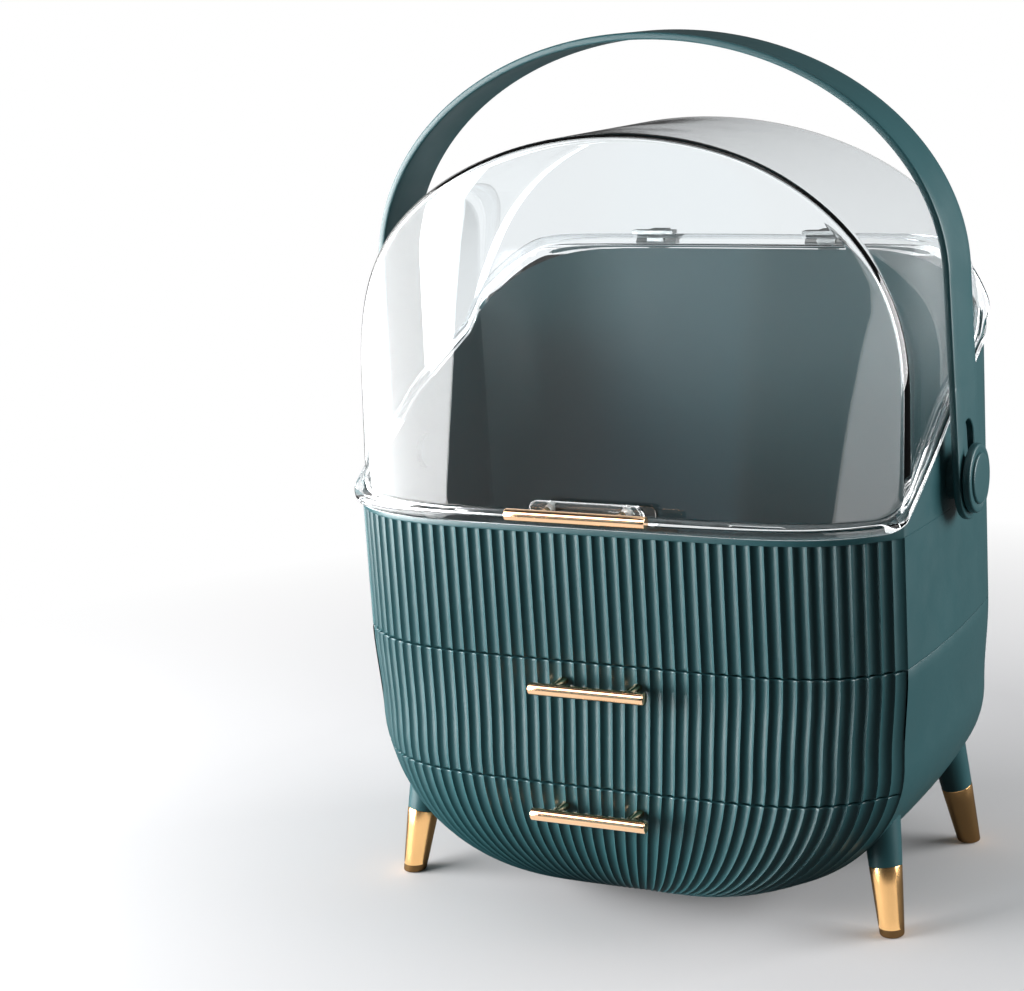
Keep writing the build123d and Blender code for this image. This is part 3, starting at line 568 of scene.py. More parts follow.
def upper_case_surface(edge):
    """Rows of the plan at rising heights: underside, ribs, smooth band, rim that follows rim_z(y), inner
    wall and floor. Each row is moved in by inset, at height z or below_rim under the rim, and may shrink to
    the middle."""
    rows = []

    def add(inset, ribbed, z=None, below_rim=None, shrink=None):
        x, y = case_loop(inset, ribbed)
        if shrink is not None:
            x, y = x * shrink, y * shrink
        rows.append(grid(x, y, rim_z(y) - below_rim if z is None else z))

    add(0, 1, SEAM_HIGH_Z, shrink=0.0)
    add(WALL, 0, SEAM_HIGH_Z)
    add(edge, 1, SEAM_HIGH_Z)
    add(edge * 0.3, 1, SEAM_HIGH_Z + edge * 0.3)
    for z in (edge, edge + 0.4, 30.0):
        add(0, 1, SEAM_HIGH_Z + z)
    add(0, 1, RIB_TOP_Z)
    add(0.12, 0, RIB_TOP_Z + 0.05)
    add(0, 0, RIB_TOP_Z + 0.3)
    add(0, 0, RIB_TOP_Z + 0.8)
    add(0, 0, below_rim=2.0)
    for a in np.linspace(0, math.pi / 2, 4):
        add(1 - math.cos(a), 0, below_rim=1 - math.sin(a))
    for a in np.linspace(math.pi / 2, 0, 4):
        add(WALL - 1 + math.cos(a), 0, below_rim=1 - math.sin(a))
    floor = SEAM_HIGH_Z + WALL
    add(WALL, 0, below_rim=2.0)
    add(WALL, 0, floor + 30)
    add(WALL, 0, floor + TRAY_FILLET + 0.6)
    for a in np.linspace(0, math.pi / 2, 6):
        add(WALL + TRAY_FILLET * (1 - math.cos(a)), 0, floor + TRAY_FILLET * (1 - math.sin(a)))
    add(WALL + TRAY_FILLET, 0, floor, shrink=0.5)
    add(0, 0, floor, shrink=0.0)
    return [(np.stack(rows), False, True)]


def shell_row(z, inset):
    """Plan of the lower case at heights z, open to the front: left side, back, right side."""
    z = np.asarray(z, float)[:, None]
    width, depth = half_width(z, inset), half_depth(z, inset)
    corner_x, corner_y = width - CORNER_INSET, CORNER_Y - CORNER_FOLLOW * inset
    t = np.linspace(-1, 1, SIDE_COLUMNS)[None, :]
    rx, ry = side_arc(width, corner_x, corner_y, t)
    ry = np.where(t < 0, CORNER_Y * t, ry) + 0 * width
    back = eased(BACK_COLUMNS)[None, 1:-1]
    bx, by = corner_x * back, bulge(back, depth, corner_y)
    return np.concatenate([-rx, bx, rx[:, ::-1]], axis=1), np.concatenate([ry, by, ry[:, ::-1]], axis=1)


def rising(low, high, count):
    """Heights that crowd together where the wall turns under: low + (high - low)(1 - cos a)."""
    return low + (high - low) * (1 - np.cos(np.linspace(0, math.pi / 2, count)))


def lower_case_sheet(inset, edge, z):
    """The round shell as a sheet: a fan over the flat bottom from the middle of the open edge, then the
    wall."""
    x, y = shell_row(z, inset)
    wall = grid(x, y, z[:, None])
    pole = np.array([0.0, -CORNER_Y, z[0]])
    fan = [pole + (wall[0] - pole) * k for k in (0.0, 0.35, 0.7)]
    top_x, top_y = shell_row(z[-1:], inset + edge)
    wall[-1] = grid(top_x, top_y, z[-1])[0]
    return np.concatenate([np.stack(fan), wall], axis=0)


def front_rows(z, inset, extra):
    """The front at heights z, ribbed where inset is 0; extra moves single rows back to round an edge."""
    u, behind, set_back = rib_columns(bpy.context.scene.organizer_sizes.rib_samples)
    z = np.asarray(z, float)[:, None]
    corner_x = half_width(z, inset) - CORNER_INSET
    depth = half_depth(z, inset)
    ribbed = 1.0 if inset == 0 else 0.0
    scale = corner_x / (CASE_HALF_WIDTH - CORNER_INSET)
    dig = ribbed * (behind * RIB_DEPTH * scale + set_back * RIB_SET_BACK) + np.asarray(extra)[:, None]
    x, y = front_point(u[None, :], dig, corner_x, depth)
    return grid(x, np.minimum(y, -CORNER_Y - LID_GAP), z)


def edge_rows(low, high, middle, edge):
    """Heights and set-backs of a front whose lower and upper edges are rounded by edge."""
    a = np.linspace(0, math.pi / 2, 4)
    bottom, top = low + edge * (1 - np.cos(a)), high - edge * (1 - np.cos(a))[::-1]
    lift = edge * (1 - np.sin(a))
    return np.concatenate([bottom, middle, top]), np.concatenate([lift, np.zeros(len(middle)), lift[::-1]])


def upper_drawer_surface(edge):
    """A ribbed wall between the two seams, with its edges rounded."""
    low, high = SEAM_LOW_Z + DRAWER_GAP, SEAM_HIGH_Z - 2 * DRAWER_GAP
    z, extra = edge_rows(low, high, np.linspace(low + edge + 0.4, high - edge - 0.4, 10), edge)
    return thick_sheet(front_rows(z, 0.0, extra), front_rows(z, FRONT_WALL, extra * 0))


def lower_drawer_surface(edge):
    """The front rolls under with the case and ends in a flat strip at the bottom."""
    high = SEAM_LOW_Z - DRAWER_GAP
    turns = np.append(rising(BOTTOM_Z, high - edge - 0.4, 34), high - edge)
    a = np.linspace(0, math.pi / 2, 4)[1:]
    z = np.concatenate([turns, high - edge + edge * np.sin(a)])
    extra = np.concatenate([np.zeros(len(turns)), edge * (1 - np.cos(a))])
    inner_low = BOTTOM_Z + FRONT_WALL
    inner_z = inner_low + (z - BOTTOM_Z) * (high - inner_low) / (high - BOTTOM_Z)
    sheets = []
    for rows in (front_rows(z, 0.0, extra), front_rows(inner_z, FRONT_WALL, extra * 0)):
        hem = rows[0].copy()
        hem[:, 1] = -CORNER_Y - LID_GAP
        middle = hem + (rows[0] - hem) * 0.6
        sheets.append(np.concatenate([np.stack([hem, middle]), rows], axis=0))
    return thick_sheet(*sheets)


class ORGANIZER_OT_case(bpy.types.Operator):
    """Upper case with its ribbed front, tray and sloping rim, and the round lower case"""

    bl_idname = "organizer.case"
    bl_label = "Case"

    def execute(self, context):
        edge, green = context.scene.organizer_sizes.edge, finish("green")
        put_mesh("case_upper", upper_case_surface(edge), green, "case", ["upper_case"])
        turn, side = rising(BOTTOM_Z, ROUND_TOP_Z, 30), np.linspace(ROUND_TOP_Z, SEAM_HIGH_Z - 0.3, 9)[1:]
        z = np.concatenate([turn, side, [SEAM_HIGH_Z]])
        height = SEAM_HIGH_Z - BOTTOM_Z
        inner_z = BOTTOM_Z + WALL + (z - BOTTOM_Z) * (height - WALL) / height
        shell = thick_sheet(lower_case_sheet(0.0, 0.15, z), lower_case_sheet(WALL, 0.0, inner_z))
        put_mesh("case_lower", shell, green, "case", ["lower_case"])
        return {"FINISHED"}


class ORGANIZER_OT_drawers(bpy.types.Operator):
    """Ribbed fronts of the two drawers"""

    bl_idname = "organizer.drawers"
    bl_label = "Drawer fronts"

    def execute(self, context):
        edge, green = context.scene.organizer_sizes.edge, finish("green")
        fronts = {"upper": upper_drawer_surface(edge), "lower": lower_drawer_surface(edge)}
        for level, surface in fronts.items():
            piece, body, node = f"drawer_front_{level}", f"{level}_drawer", f"{level}_drawer_front"
            put_mesh(piece, surface, green, body, [node])
        return {"FINISHED"}


# Lid


def arch_line(inset):
    """Half of the dome's arch from the crown down: x = w sin t, z = spring + rise |cos t|^(2/power), then
    straight down. Returns x, z, the outward normal and the distance run from the crown."""
    w, rise = DOME_HALF_WIDTH - inset, DOME_RISE - inset
    t = np.linspace(0, math.pi / 2, 400)
    x, z = w * np.sin(t), DOME_SPRING_Z + rise * np.abs(np.cos(t)) ** (2 / DOME_POWER)
    x, z = np.append(x, [w] * 60), np.append(z, np.linspace(DOME_SPRING_Z, 170, 61)[1:])
    run = np.concatenate([[0], np.cumsum(np.hypot(np.diff(x), np.diff(z)))])
    dx, dz = np.gradient(x, run), np.gradient(z, run)
    return x, z, -dz, dx, run


def dome_depth(x, z, inset, back):
    """Half depth of the leaning front or back at x and z: the foot curve and the crown curve, joined by
    straight lines."""
    u = x / DOME_HALF_WIDTH
    foot = DOME_FOOT_CORNER_Y + (DOME_FOOT_DEPTH - DOME_FOOT_CORNER_Y) * (1 - np.abs(u) ** BULGE_POWER)
    top = DOME_TOP_SIDE_DEPTH + (DOME_TOP_DEPTH - DOME_TOP_SIDE_DEPTH) * (1 - u * u)
    low = RIM_FRONT_Z - 5.0
    lean = (z - low) / (DOME_TENT_TOP - low)
    if back:
        lean = np.clip((z - RIM_BACK_Z) / (DOME_TENT_TOP - RIM_BACK_Z), 0, 1)
    return foot + (top - foot) * lean - inset


def dome_surface(inset, foot_lift, crease, columns=129, rows=40):
    """The dome as one grid. Each column starts at the foot of the front wall, climbs it, rounds the crease,
    runs back over the arch, rounds the rear crease and goes down the back wall. Columns are spread along
    the arch, closer at its feet."""
    ax, az, nx, nz, run = arch_line(inset)
    tau = eased(columns) * 0.35 + np.linspace(-1, 1, columns) * 0.65
    side = np.sign(tau)

    def foot_z(y):
        return rim_z(y) + foot_lift

    def on_arch(y):
        reach = np.interp(-foot_z(y), -az, run)
        x, z, mx, mz = (np.interp(np.abs(tau) * reach, run, line) for line in (ax, az, nx, nz))
        return side * x, z, side * mx, mz

    parts = []
    for back in (False, True):
        sign = 1.0 if back else -1.0
        y = sign * np.full(columns, 60.0)
        for _ in range(30):
            x, z, mx, mz = on_arch(y)
            y = 0.5 * y + 0.5 * sign * dome_depth(x, z, inset, back)
        qx, qz = x - crease * mx, z - crease * mz
        qy = sign * dome_depth(qx, qz, inset, back)
        ry = y - sign * crease
        rx, rz, _, _ = on_arch(ry)
        start, corner, end = grid(qx, qy, qz), grid(x, y, z), grid(rx, ry, rz)
        k = np.linspace(0, 1, 7)[:, None, None]
        rounding = (1 - k) ** 2 * start + 2 * k * (1 - k) * corner + k**2 * end
        foot_x = np.abs(qx[-1]) * np.sign(tau) * np.abs(tau) ** 0.9
        foot_y = sign * dome_depth(foot_x, foot_z(sign * 80.0), inset, back)
        for _ in range(20):
            foot_y = 0.5 * foot_y + 0.5 * sign * dome_depth(foot_x, foot_z(foot_y), inset, back)
        r = np.linspace(0, 1, rows // 2)[:, None]
        wx = foot_x + (qx - foot_x) * r
        wz = foot_z(foot_y) + (qz - foot_z(foot_y)) * r
        wy = sign * dome_depth(wx, wz, inset, back)
        parts.append((grid(wx, wy, wz), rounding, ry))
    (front_wall, front_round, y0), (back_wall, back_round, y1) = parts
    middle = []
    for k in np.linspace(0, 1, rows)[1:-1]:
        y = y0 + (y1 - y0) * k
        x, z, _, _ = on_arch(y)
        middle.append(grid(x, y, z))
    over = [front_wall[:-1], front_round, np.stack(middle), back_round[::-1], back_wall[::-1][1:]]
    return np.concatenate(over, axis=0)


def grid_border(surface):
    """The points around the edge of a grid, once round."""
    return np.concatenate([surface[0], surface[1:, -1], surface[-1, -2::-1], surface[-2:0:-1, 0]])


def flange_reach(angle):
    """Distance from the middle to the flange's edge in the direction angle, read off the flange's plan."""
    u = eased(241)
    t = np.linspace(-1, 1, 81)[1:-1]
    sx, sy = side_arc(FLANGE_HALF_WIDTH, FLANGE_CORNER_X, FLANGE_CORNER_Y, t)
    y = bulge(u, FLANGE_HALF_DEPTH, FLANGE_CORNER_Y)
    px = np.concatenate([FLANGE_CORNER_X * u, sx, FLANGE_CORNER_X * u[::-1], -sx])
    py = np.concatenate([-y, sy, y[::-1], -sy])
    a, r = np.arctan2(py, px), np.hypot(px, py)
    order = np.argsort(a)
    return np.interp(angle, a[order], r[order], period=2 * math.pi)


def lid_surfaces(sizes):
    """Outer dome, flange and inner dome. The flange's section runs from the outer foot out over a rounded
    bead and back under to the inner foot, and follows the rim's height at each point."""
    thick = sizes.flange
    outer = dome_surface(0.0, LID_GAP + thick + 1.0, sizes.crease)
    inner = dome_surface(sizes.lid_wall, LID_GAP, max(sizes.crease - sizes.lid_wall, 1.0))
    start, finish = grid_border(outer), grid_border(inner)
    angle = np.arctan2(start[:, 1], start[:, 0])
    reach = flange_reach(angle)
    base = np.hypot(start[:, 0], start[:, 1])
    shelf = reach - base
    bead = np.minimum(2.4, 0.42 * shelf)
    fillet = np.minimum(1.0, 0.2 * shelf)
    half = thick / 2
    sections = [(base + 0.3 * fillet, thick + 0.3), (base + fillet, thick), (reach - 1.8 * bead, thick)]
    sections.append((reach - 1.5 * bead, thick - 0.7))
    for k in np.linspace(0, math.pi, 11):
        sections.append((reach - bead + bead * math.sin(k), half + (half - 0.1) * math.cos(k)))
    sections.append((reach - 1.5 * bead, 0.0))
    rings = [start]
    for radius, lift in sections:
        x, y = radius * np.cos(angle), radius * np.sin(angle)
        rings.append(grid(x, y, rim_z(y) + LID_GAP + lift))
    rings.append(finish)
    return [(outer, False, False), (np.stack(rings), False, True), (inner, False, False)]


def tab_surface():
    """The upright plate behind the lid's pull: its rounded outline, moved in as TAB_SECTION says at each
    depth, and shrunk to its middle where that says None."""
    low, corner = RIM_FRONT_Z + LID_GAP + 5.6, TAB_CORNER
    a = np.linspace(0, math.pi / 2, 9)
    right_x, right_z = TAB_HALF - corner + corner * np.cos(a), TAB_TOP_Z - corner + corner * np.sin(a)
    right = np.stack([right_x, right_z], axis=1)
    left = right[::-1] * [-1, 1]
    outline = np.concatenate([[[TAB_HALF, low]], right, left, [[-TAB_HALF, low]]])
    half = np.array([TAB_HALF, (TAB_TOP_Z - low) / 2])
    middle = np.array([0.0, low + half[1]])
    rows = []
    for y, inset in TAB_SECTION:
        scale = half * 0 if inset is None else 1 - inset / half
        points = middle + (outline - middle) * scale
        rows.append(grid(points[:, 0], y, points[:, 1]))
    return [(np.stack(rows), False, True)]


class ORGANIZER_OT_lid(bpy.types.Operator):
    """Clear domed lid with its flange, and the plate that carries its pull"""

    bl_idname = "organizer.lid"
    bl_label = "Clear lid"

    def execute(self, context):
        sizes = context.scene.organizer_sizes
        clear = finish("clear")
        put_mesh("lid_dome", lid_surfaces(sizes), clear, "lid", ["lid"], sharp=50)
        put_mesh("lid_tab", tab_surface(), clear, "lid", sharp=50)
        return {"FINISHED"}


# Handle


def band_section(edge):
    """Section of the band: depth below the outer face and y, once round, with its four edges rounded."""
    half, thick = HANDLE_WIDTH / 2, HANDLE_THICK
    a = np.linspace(0, math.pi / 2, 5)
    one = np.stack([edge - edge * np.sin(a), half - edge + edge * np.cos(a)], axis=1)[::-1]
    flat = np.linspace(-(half - edge), half - edge, 7)[1:-1]
    top = np.stack([np.zeros_like(flat), flat], axis=1)
    under = [thick, 0]
    inner = [one[::-1] * [-1, 1] + under, top * [0, -1] + under, one * [-1, -1] + under]
    return np.concatenate([top, one, *inner, one[::-1] * [1, -1]])


def band_surface(edge):
    """The section carried from one joint height up the leg, round the ellipse and down again."""
    z = np.linspace(HANDLE_JOIN_Z, HANDLE_SPRING_Z, 8)[:-1]
    leg_x = HANDLE_HALF + HANDLE_SPLAY * (HANDLE_SPRING_Z - z)
    t = np.linspace(0, math.pi, 121)
    arch_x, arch_z = HANDLE_HALF * np.cos(t), HANDLE_SPRING_Z + HANDLE_RISE * np.sin(t)
    nx, nz = np.cos(t) / HANDLE_HALF, np.sin(t) / HANDLE_RISE
    length = np.hypot(nx, nz)
    x = np.concatenate([leg_x, arch_x, -leg_x[::-1]])
    zz = np.concatenate([z, arch_z, z[::-1]])
    one = np.ones_like(z)
    px = np.concatenate([one, nx / length, -one])
    pz = np.concatenate([one * HANDLE_SPLAY, nz / length, one * HANDLE_SPLAY])
    section = band_section(edge)
    depth, y = section[:, 0][None, :], section[:, 1][None, :] + PIVOT_Y
    body = grid(x[:, None] - depth * px[:, None], y, zz[:, None] - depth * pz[:, None])
    caps = [row.mean(axis=0, keepdims=True).repeat(row.shape[0], axis=0) for row in (body[0], body[-1])]
    return np.concatenate([caps[:1], body, caps[1:]], axis=0), False, True


def slotted_end(side, edge):
    """The band's lower end round its slot. Rings run from the slot's outline out to the end's outline on
    the outer face, round the edge and back on the inner face. The slot is two half circles, the end a half
    circle under a straight band."""
    half = HANDLE_WIDTH / 2
    middle = (SLOT_LOW_Z + SLOT_HIGH_Z) / 2
    reach = (SLOT_HIGH_Z - SLOT_LOW_Z) / 2
    corners = np.arctan2(HANDLE_JOIN_Z - middle, np.array([half, -half]))
    angle = np.sort(np.concatenate([np.linspace(-math.pi, math.pi, 97)[:-1], corners]))
    c, s = np.cos(angle), np.sin(angle)

    def stadium(radius):
        """Distance from the slot's middle to a stadium of that radius in each direction."""
        side_hit = radius / np.maximum(np.abs(c), 1e-9)
        centre = np.sign(s) * reach
        round_hit = s * centre + np.sqrt(np.maximum(radius**2 - (c * centre) ** 2, 0))
        return np.where(side_hit * np.abs(s) <= reach, side_hit, round_hit)

    def outline(inset):
        """Distance to the end's outline: its round bottom, straight sides and the line where the band goes
        on."""
        r = half - inset
        drop = HANDLE_END_Z - middle
        side_hit = r / np.maximum(np.abs(c), 1e-9)
        top_hit = np.where(s > 1e-6, (HANDLE_JOIN_Z - middle) / np.maximum(s, 1e-9), 1e9)
        below = s * drop + np.sqrt(np.maximum(r**2 - (c * drop) ** 2, 0))
        found = np.minimum(side_hit, top_hit)
        return np.where((s < 0) & (side_hit * s < drop), below, found)

    face, wall = stadium(SLOT_HALF + SLOT_EDGE), stadium(SLOT_HALF)
    turn = np.linspace(0, math.pi / 2, 5)
    corner = [(outline(edge * (1 - math.sin(a))), edge * (1 - math.cos(a))) for a in turn]
    rings = [(face, 0.0), *corner, *((radius, HANDLE_THICK - depth) for radius, depth in corner[::-1])]
    rings += [(face, HANDLE_THICK), (wall, HANDLE_THICK - SLOT_EDGE), (wall, SLOT_EDGE)]
    rows = []
    for radius, depth in rings:
        y, z = radius * c, middle + radius * s
        x = HANDLE_HALF + HANDLE_SPLAY * (HANDLE_SPRING_Z - z) - depth
        rows.append(grid(side * x, y + PIVOT_Y, z))
    return np.stack(rows), True, True


def button_profile():
    """Profile of the round button: a soft outer rim, a shallow groove and a raised disc."""
    a = np.linspace(0, math.pi / 2, 6)
    parts = [np.array([[0, 0], [BUTTON_RADIUS - 0.5, 0], [BUTTON_RADIUS, 0.5]])]
    for radius, height, edge in (
        (BUTTON_RADIUS, BUTTON_THICK - BUTTON_EDGE, BUTTON_EDGE),
        (DISC_RADIUS, BUTTON_THICK, DISC_EDGE),
    ):
        parts.append(np.stack([radius - edge + edge * np.cos(a), height + edge * np.sin(a)], axis=1))
    low, high = BUTTON_THICK - GROOVE_DEPTH, BUTTON_THICK + DISC_EDGE
    groove = [[GROOVE_RADIUS, BUTTON_THICK], [GROOVE_RADIUS - 0.6, low], [DISC_RADIUS, low]]
    parts.insert(2, np.array(groove))
    return np.vstack([*parts, [[8.0, high], [0, high]]])


class ORGANIZER_OT_handle(bpy.types.Operator):
    """Carrying handle with its slotted ends, and the round buttons it hangs on"""

    bl_idname = "organizer.handle"
    bl_label = "Handle"

    def execute(self, context):
        green = finish("green")
        surfaces = [band_surface(HANDLE_EDGE), slotted_end(1, HANDLE_EDGE), slotted_end(-1, HANDLE_EDGE)]
        put_mesh("handle_band", surfaces, green, "handle", ["handle"], weld=0.0005)
        for name, side in (("left", -1), ("right", 1)):
            surface = [turned(button_profile(), (side * BUTTON_X, PIVOT_Y, PIVOT_Z), (side, 0, 0), 72)]
            piece, node = f"handle_button_{name}", f"button_{name}"
            put_mesh(piece, surface, green, "handle_pivot", [node])
        return {"FINISHED"}


# Pulls and leg tips


class ORGANIZER_OT_pulls(bpy.types.Operator):
    """Plated bars of the three pulls"""

    bl_idname = "organizer.pulls"
    bl_label = "Pulls"

    def execute(self, context):
        pulls = {"upper_pull": "upper_drawer", "lower_pull": "lower_drawer", "lid_pull": "lid"}
        for name, body in pulls.items():
            low, high = box_mm(f"{name}_bar")
            centre = (low + high) / 2 - [0, SHIFT_Y, 0]
            half_length, _, radius = (high - low) / 2
            bar = turned(round_end(radius, half_length, BAR_EDGE), centre, (1, 0, 0))
            put_mesh(f"{name}_rod", [bar], finish("gold"), body, [f"{name}_bar"])
        return {"FINISHED"}


def tip_surface(sx, sy):
    """A leaning tapered tip: circles whose centre moves in with height, flat on the ground and square to
    the leg on top."""
    z, r = np.array(TIP_Z, float), np.array(TIP_RADIUS, float)
    angle = np.linspace(0, 2 * math.pi, 64, endpoint=False)
    tilt = (z / TIP_HEIGHT)[:, None]
    ox, oy = r[:, None] * np.cos(angle), r[:, None] * np.sin(angle)
    x = sx * (FOOT_X + LEAN_X * z)[:, None] + ox
    y = sy * (FOOT_Y - LEAN_Y * z)[:, None] + oy
    zz = z[:, None] - tilt * (ox * sx * LEAN_X - oy * sy * LEAN_Y)
    return grid(x, y, np.maximum(zz, 0.0)), False, True


class ORGANIZER_OT_tips(bpy.types.Operator):
    """Plated tips of the four legs"""

    bl_idname = "organizer.tips"
    bl_label = "Leg tips"

    def execute(self, context):
        for row, sy in (("front", -1), ("back", 1)):
            for side, sx in (("left", -1), ("right", 1)):
                piece, node = f"tip_{row}_{side}", f"leg_tip_{row}_{side}"
                put_mesh(piece, [tip_surface(sx, sy)], finish("tip"), "case", [node])
        return {"FINISHED"}


class ORGANIZER_OT_fittings(bpy.types.Operator):
    """Finishes for the pieces that keep the frame's own shape"""

    bl_idname = "organizer.fittings"
    bl_label = "Fittings"

    def execute(self, context):
        for part in frame["record"]["subparts"]:
            node = frame["nodes"][part["node"]]
            node.data.materials.clear()
            node.data.materials.append(finish(SLOT_FINISH[part["material_slot"]]))
        return {"FINISHED"}


# Stage


def look_from(angles, position, focal, centre):
    """Camera at position that looks along azimuth and elevation, rolled, with its focal length and
    centre."""
    a, e, r = (math.radians(v) for v in angles)
    forward = Vector((-math.sin(a) * math.cos(e), math.cos(a) * math.cos(e), -math.sin(e)))
    level = Vector((math.cos(a), math.sin(a), 0))
    down = forward.cross(level)
    right, up = math.cos(r) * level - math.sin(r) * down, -math.sin(r) * level - math.cos(r) * down
    data = bpy.data.cameras.new("camera")
    data.sensor_fit, data.sensor_width = "HORIZONTAL", SENSOR
    data.lens = focal / PHOTO_WIDTH * SENSOR
    data.shift_x = (PHOTO_WIDTH / 2 - centre[0]) / PHOTO_WIDTH
    data.shift_y = (centre[1] - PHOTO_HEIGHT / 2) / PHOTO_WIDTH
    data.dof.use_dof = False
    camera = bpy.data.objects.new("camera", data)
    place = Vector((position[0], position[1] + SHIFT_Y, position[2])) * 0.001
    turn = Matrix((right, up, -forward)).transposed().to_4x4()
    camera.matrix_world = Matrix.Translation(place) @ turn
    bpy.context.scene.collection.objects.link(camera)
    bpy.context.scene.camera = camera


def soft_lamp(name, place, target, width, height, radiance):
    """A flat lamp of even brightness: its power is radiance * pi * area."""
    data = bpy.data.lights.new(name, "AREA")
    data.shape, data.size, data.size_y = "RECTANGLE", width, height
    data.energy = radiance * math.pi * width * height
    lamp = bpy.data.objects.new(name, data)
    lamp.location = place
    lamp.rotation_euler = (Vector(target) - Vector(place)).to_track_quat("-Z", "Y").to_euler()
    bpy.context.scene.collection.objects.link(lamp)
    return lamp


def light_only(lamp, pieces, state):
    """With INCLUDE only the named pieces see the lamp, and with EXCLUDE all but them."""
    receivers = bpy.data.collections.new(f"{lamp.name}_receivers")
    for piece in pieces:
        receivers.objects.link(bpy.data.objects[piece])
    for entry in receivers.collection_objects:
        entry.light_linking.link_state = state
    lamp.light_linking.receiver_collection = receivers
    lamp.visible_camera = False


def studio_world(stage):
    """White behind the object. What only lights or is mirrored is a soft grey room, darker towards the
    front, and a pale blue window: an upright band in front, 15 to 30 degrees to the left."""
    world = bpy.data.worlds.new("studio")
    world.use_nodes = True
    tree = world.node_tree
    tree.nodes.clear()
    new, link = tree.nodes.new, tree.links.new
    where, split, path = new("ShaderNodeTexCoord"), new("ShaderNodeSeparateXYZ"), new("ShaderNodeLightPath")
    link(where.outputs["Generated"], split.inputs[0])
    x, y = split.outputs["X"], split.outputs["Y"]
    room = ramp_value(tree, y, stage.room_front, stage.room_back, -0.75, 0.35, "SMOOTHSTEP")
    angle = maths(tree, "ARCTAN2", x, maths(tree, "MULTIPLY", y, -1.0))
    sides = [
        ramp_value(tree, angle, low, high, math.radians(start), math.radians(end), "SMOOTHSTEP")
        for start, end, low, high in ((-30, -25, 0, 1), (-20, -15, 1, 0))
    ]
    band = maths(tree, "MULTIPLY", *sides)
    white, grey = new("ShaderNodeBackground"), new("ShaderNodeBackground")
    white.inputs["Color"].default_value = (1, 1, 1, 1)
    link(maths(tree, "MULTIPLY_ADD", band, stage.window, room), grey.inputs["Strength"])
    link(mix_colours(tree, band, (1, 1, 1), WINDOW_COLOUR), grey.inputs["Color"])
    seen = maths(tree, "MAXIMUM", path.outputs["Is Camera Ray"], path.outputs["Is Transmission Ray"])
    mix_shaders(tree, seen, grey.outputs[0], white.outputs[0], new("ShaderNodeOutputWorld"))
    bpy.context.scene.world = world


def floor_material(stage):
    """Pale floor that takes the shadow near the object and fades to plain white further out. What is lit by
    it or mirrors it sees a greyer floor, darker towards the front as the room is."""
    material, tree, shader, output = new_material("floor")
    new, link = tree.nodes.new, tree.links.new
    where, path = new("ShaderNodeTexCoord"), new("ShaderNodeLightPath")
    bounced = path.outputs["Is Diffuse Ray"]
    glossy, through = path.outputs["Is Glossy Ray"], path.outputs["Is Transmission Ray"]
    mirrored = maths(tree, "SUBTRACT", glossy, through, clamp=True)
    unseen = maths(tree, "ADD", bounced, mirrored, clamp=True)
    colour = mix_colours(tree, unseen, FLOOR_COLOUR, [stage.floor_bounce] * 3)
    link(colour, shader.inputs["Base Color"])
    shader.inputs["Roughness"].default_value = 0.9
    shader.inputs["Specular IOR Level"].default_value = 0.0
    length, split = new("ShaderNodeVectorMath"), new("ShaderNodeSeparateXYZ")
    length.operation = "LENGTH"
    link(where.outputs["Object"], length.inputs[0])
    link(where.outputs["Object"], split.inputs[0])
    fade = ramp_value(tree, length.outputs["Value"], 0.0, 1.0, 0.32, 0.75)
    room = ramp_value(tree, split.outputs["Y"], stage.room_front, stage.room_back, -0.5, 0.5)
    level = new("ShaderNodeMix")
    link(mirrored, level.inputs[0])
    level.inputs[2].default_value = 1.0
    link(room, level.inputs[3])
    glow = new("ShaderNodeEmission")
    link(level.outputs[0], glow.inputs["Strength"])
    share = maths(tree, "MULTIPLY_ADD", bounced, -1.0, fade, clamp=True)
    mix_shaders(tree, share, shader.outputs[0], glow.outputs[0], output)
    return material


def brightness_setting(name, description, default, most=20):
    description = f"Brightness of the {description}"
    return FloatProperty(name=name, description=description, min=0, max=most, default=default)


class OrganizerStage(bpy.types.PropertyGroup):
    left_lamp: brightness_setting("Left lamp", "large lamp on the left", 22.0, 60)
    left_wall: brightness_setting("Left wall", "white wall behind on the left", 1.2)
    right_lamp: brightness_setting("Right lamp", "lamp behind on the right", 10.5)
    top_lamp: brightness_setting("Top lamp", "lamp overhead", 1.0)
    lid_left_card: brightness_setting("Left lid card", "card on the left that only the lid reflects", 9.0)
    lid_card: brightness_setting("Lid card", "card on the right that only the lid reflects", 2.4)
    room_front: brightness_setting("Room in front", "room behind the camera", 0.03, 2)
    window: brightness_setting("Window", "soft patch in front that the lid reflects", 0.6, 5)
    gold_card: brightness_setting("Gold cards", "cards in front that only the plated pieces reflect", 0.9)
    floor_bounce: FloatProperty(
        name="Floor bounce",
        description="Grey of the floor as the light that it throws back sees it",
        min=0,
        max=1,
        default=0.12,
    )
    room_back: brightness_setting("Room behind", "room behind the object", 0.09, 2)


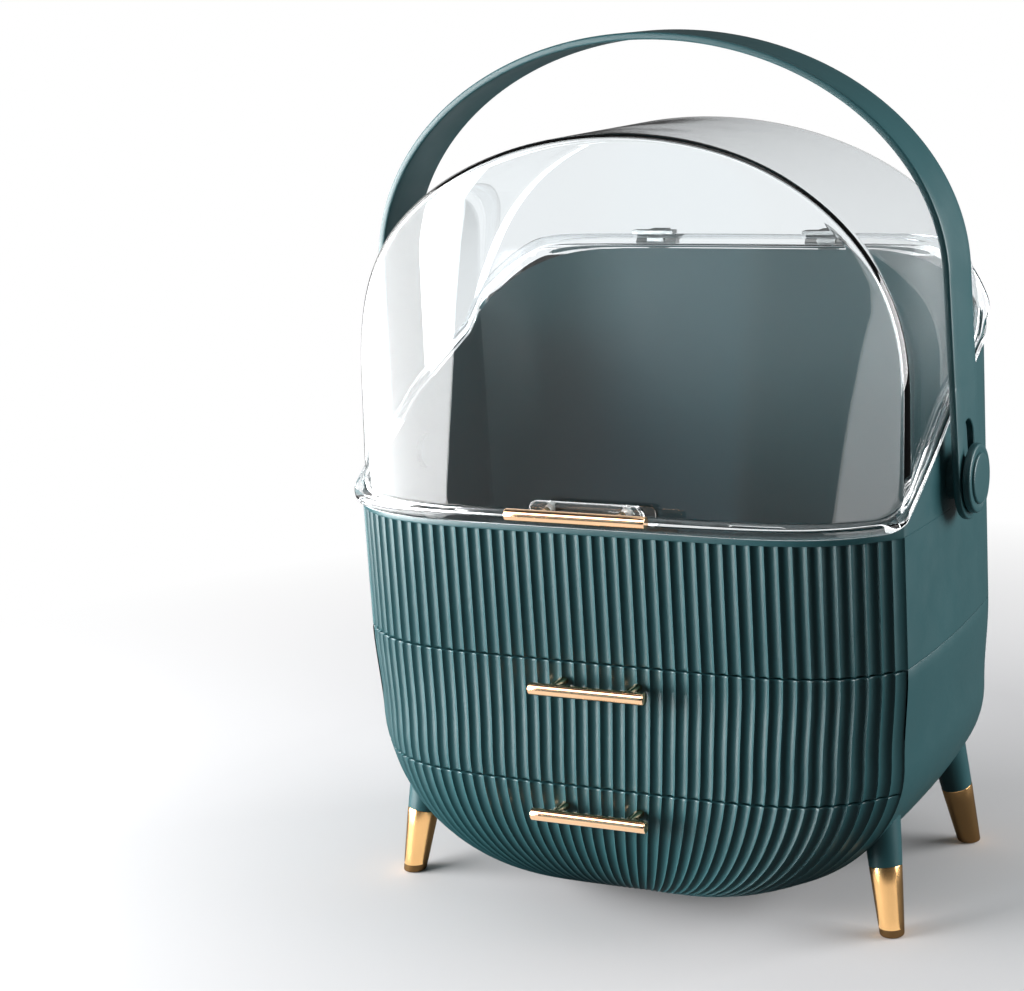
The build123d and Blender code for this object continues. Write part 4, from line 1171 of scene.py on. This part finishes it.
class ORGANIZER_OT_stage(bpy.types.Operator):
    """Floor, lamps, surroundings and camera"""

    bl_idname = "organizer.stage"
    bl_label = "Stage"

    def execute(self, context):
        stage = context.scene.organizer_stage
        mesh = bpy.data.meshes.new("floor")
        corners = [(x * FLOOR_HALF, y * FLOOR_HALF, FLOOR_Z) for x, y in ((-1, -1), (1, -1), (1, 1), (-1, 1))]
        mesh.from_pydata(corners, [], [(0, 1, 2, 3)])
        mesh.materials.append(floor_material(stage))
        floor = bpy.data.objects.new("floor", mesh)
        context.scene.collection.objects.link(floor)
        floor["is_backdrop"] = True
        names = [piece.name for piece in bpy.data.objects]
        bars = [name for name in names if name.endswith("_rod")]
        gold = bars + [name for name in names if name.startswith("tip_")]
        lid = ["lid_dome", "lid_tab"]
        seen_by = {"lid": lid, "all_but_lid": lid, "gold": gold, "bars": bars}
        for name, place, target, size, setting, times, who in LAMPS:
            lamp = soft_lamp(name, place, target, *size, getattr(stage, setting) * times)
            if who in seen_by:
                light_only(lamp, seen_by[who], "EXCLUDE" if who == "all_but_lid" else "INCLUDE")
        studio_world(stage)
        look_from(CAMERA_ANGLES, CAMERA_PLACE, CAMERA_FOCAL, CAMERA_CENTRE)
        context.scene.view_settings.view_transform = "Standard"
        return {"FINISHED"}


class ORGANIZER_PT_panel(bpy.types.Panel):
    """Sizes, colours and the steps that build the organizer"""

    bl_idname = "ORGANIZER_PT_panel"
    bl_label = "Makeup Organizer"
    bl_space_type = "VIEW_3D"
    bl_region_type = "UI"
    bl_category = "Organizer"

    def draw(self, context):
        scene = context.scene
        for group in (scene.organizer_sizes, scene.organizer_look, scene.organizer_stage):
            box = self.layout.box()
            for key in type(group).__annotations__:
                box.prop(group, key)
        for step in STEPS:
            self.layout.operator(step.bl_idname)


STEPS = (
    ORGANIZER_OT_fittings,
    ORGANIZER_OT_case,
    ORGANIZER_OT_drawers,
    ORGANIZER_OT_lid,
    ORGANIZER_OT_handle,
    ORGANIZER_OT_pulls,
    ORGANIZER_OT_tips,
    ORGANIZER_OT_stage,
)
GROUPS = (OrganizerLook, OrganizerSizes, OrganizerStage)


def register():
    for cls in (*GROUPS, *STEPS, ORGANIZER_PT_panel):
        bpy.utils.register_class(cls)
    bpy.types.Scene.organizer_look = PointerProperty(type=OrganizerLook)
    bpy.types.Scene.organizer_sizes = PointerProperty(type=OrganizerSizes)
    bpy.types.Scene.organizer_stage = PointerProperty(type=OrganizerStage)


def unregister():
    del bpy.types.Scene.organizer_look, bpy.types.Scene.organizer_sizes, bpy.types.Scene.organizer_stage
    for cls in reversed((*GROUPS, *STEPS, ORGANIZER_PT_panel)):
        bpy.utils.unregister_class(cls)


def main():
    register()
    bpy.ops.organizer.fittings()
    bpy.ops.organizer.case()
    bpy.ops.organizer.drawers()
    bpy.ops.organizer.lid()
    bpy.ops.organizer.handle()
    bpy.ops.organizer.pulls()
    bpy.ops.organizer.tips()
    bpy.ops.organizer.stage()
    boxes = {"cad": CAD_BOX, "visual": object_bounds()}
    boxes = {name: [list(map(float, corner)) for corner in box] for name, box in boxes.items()}


if __name__ == "__main__":
    main()
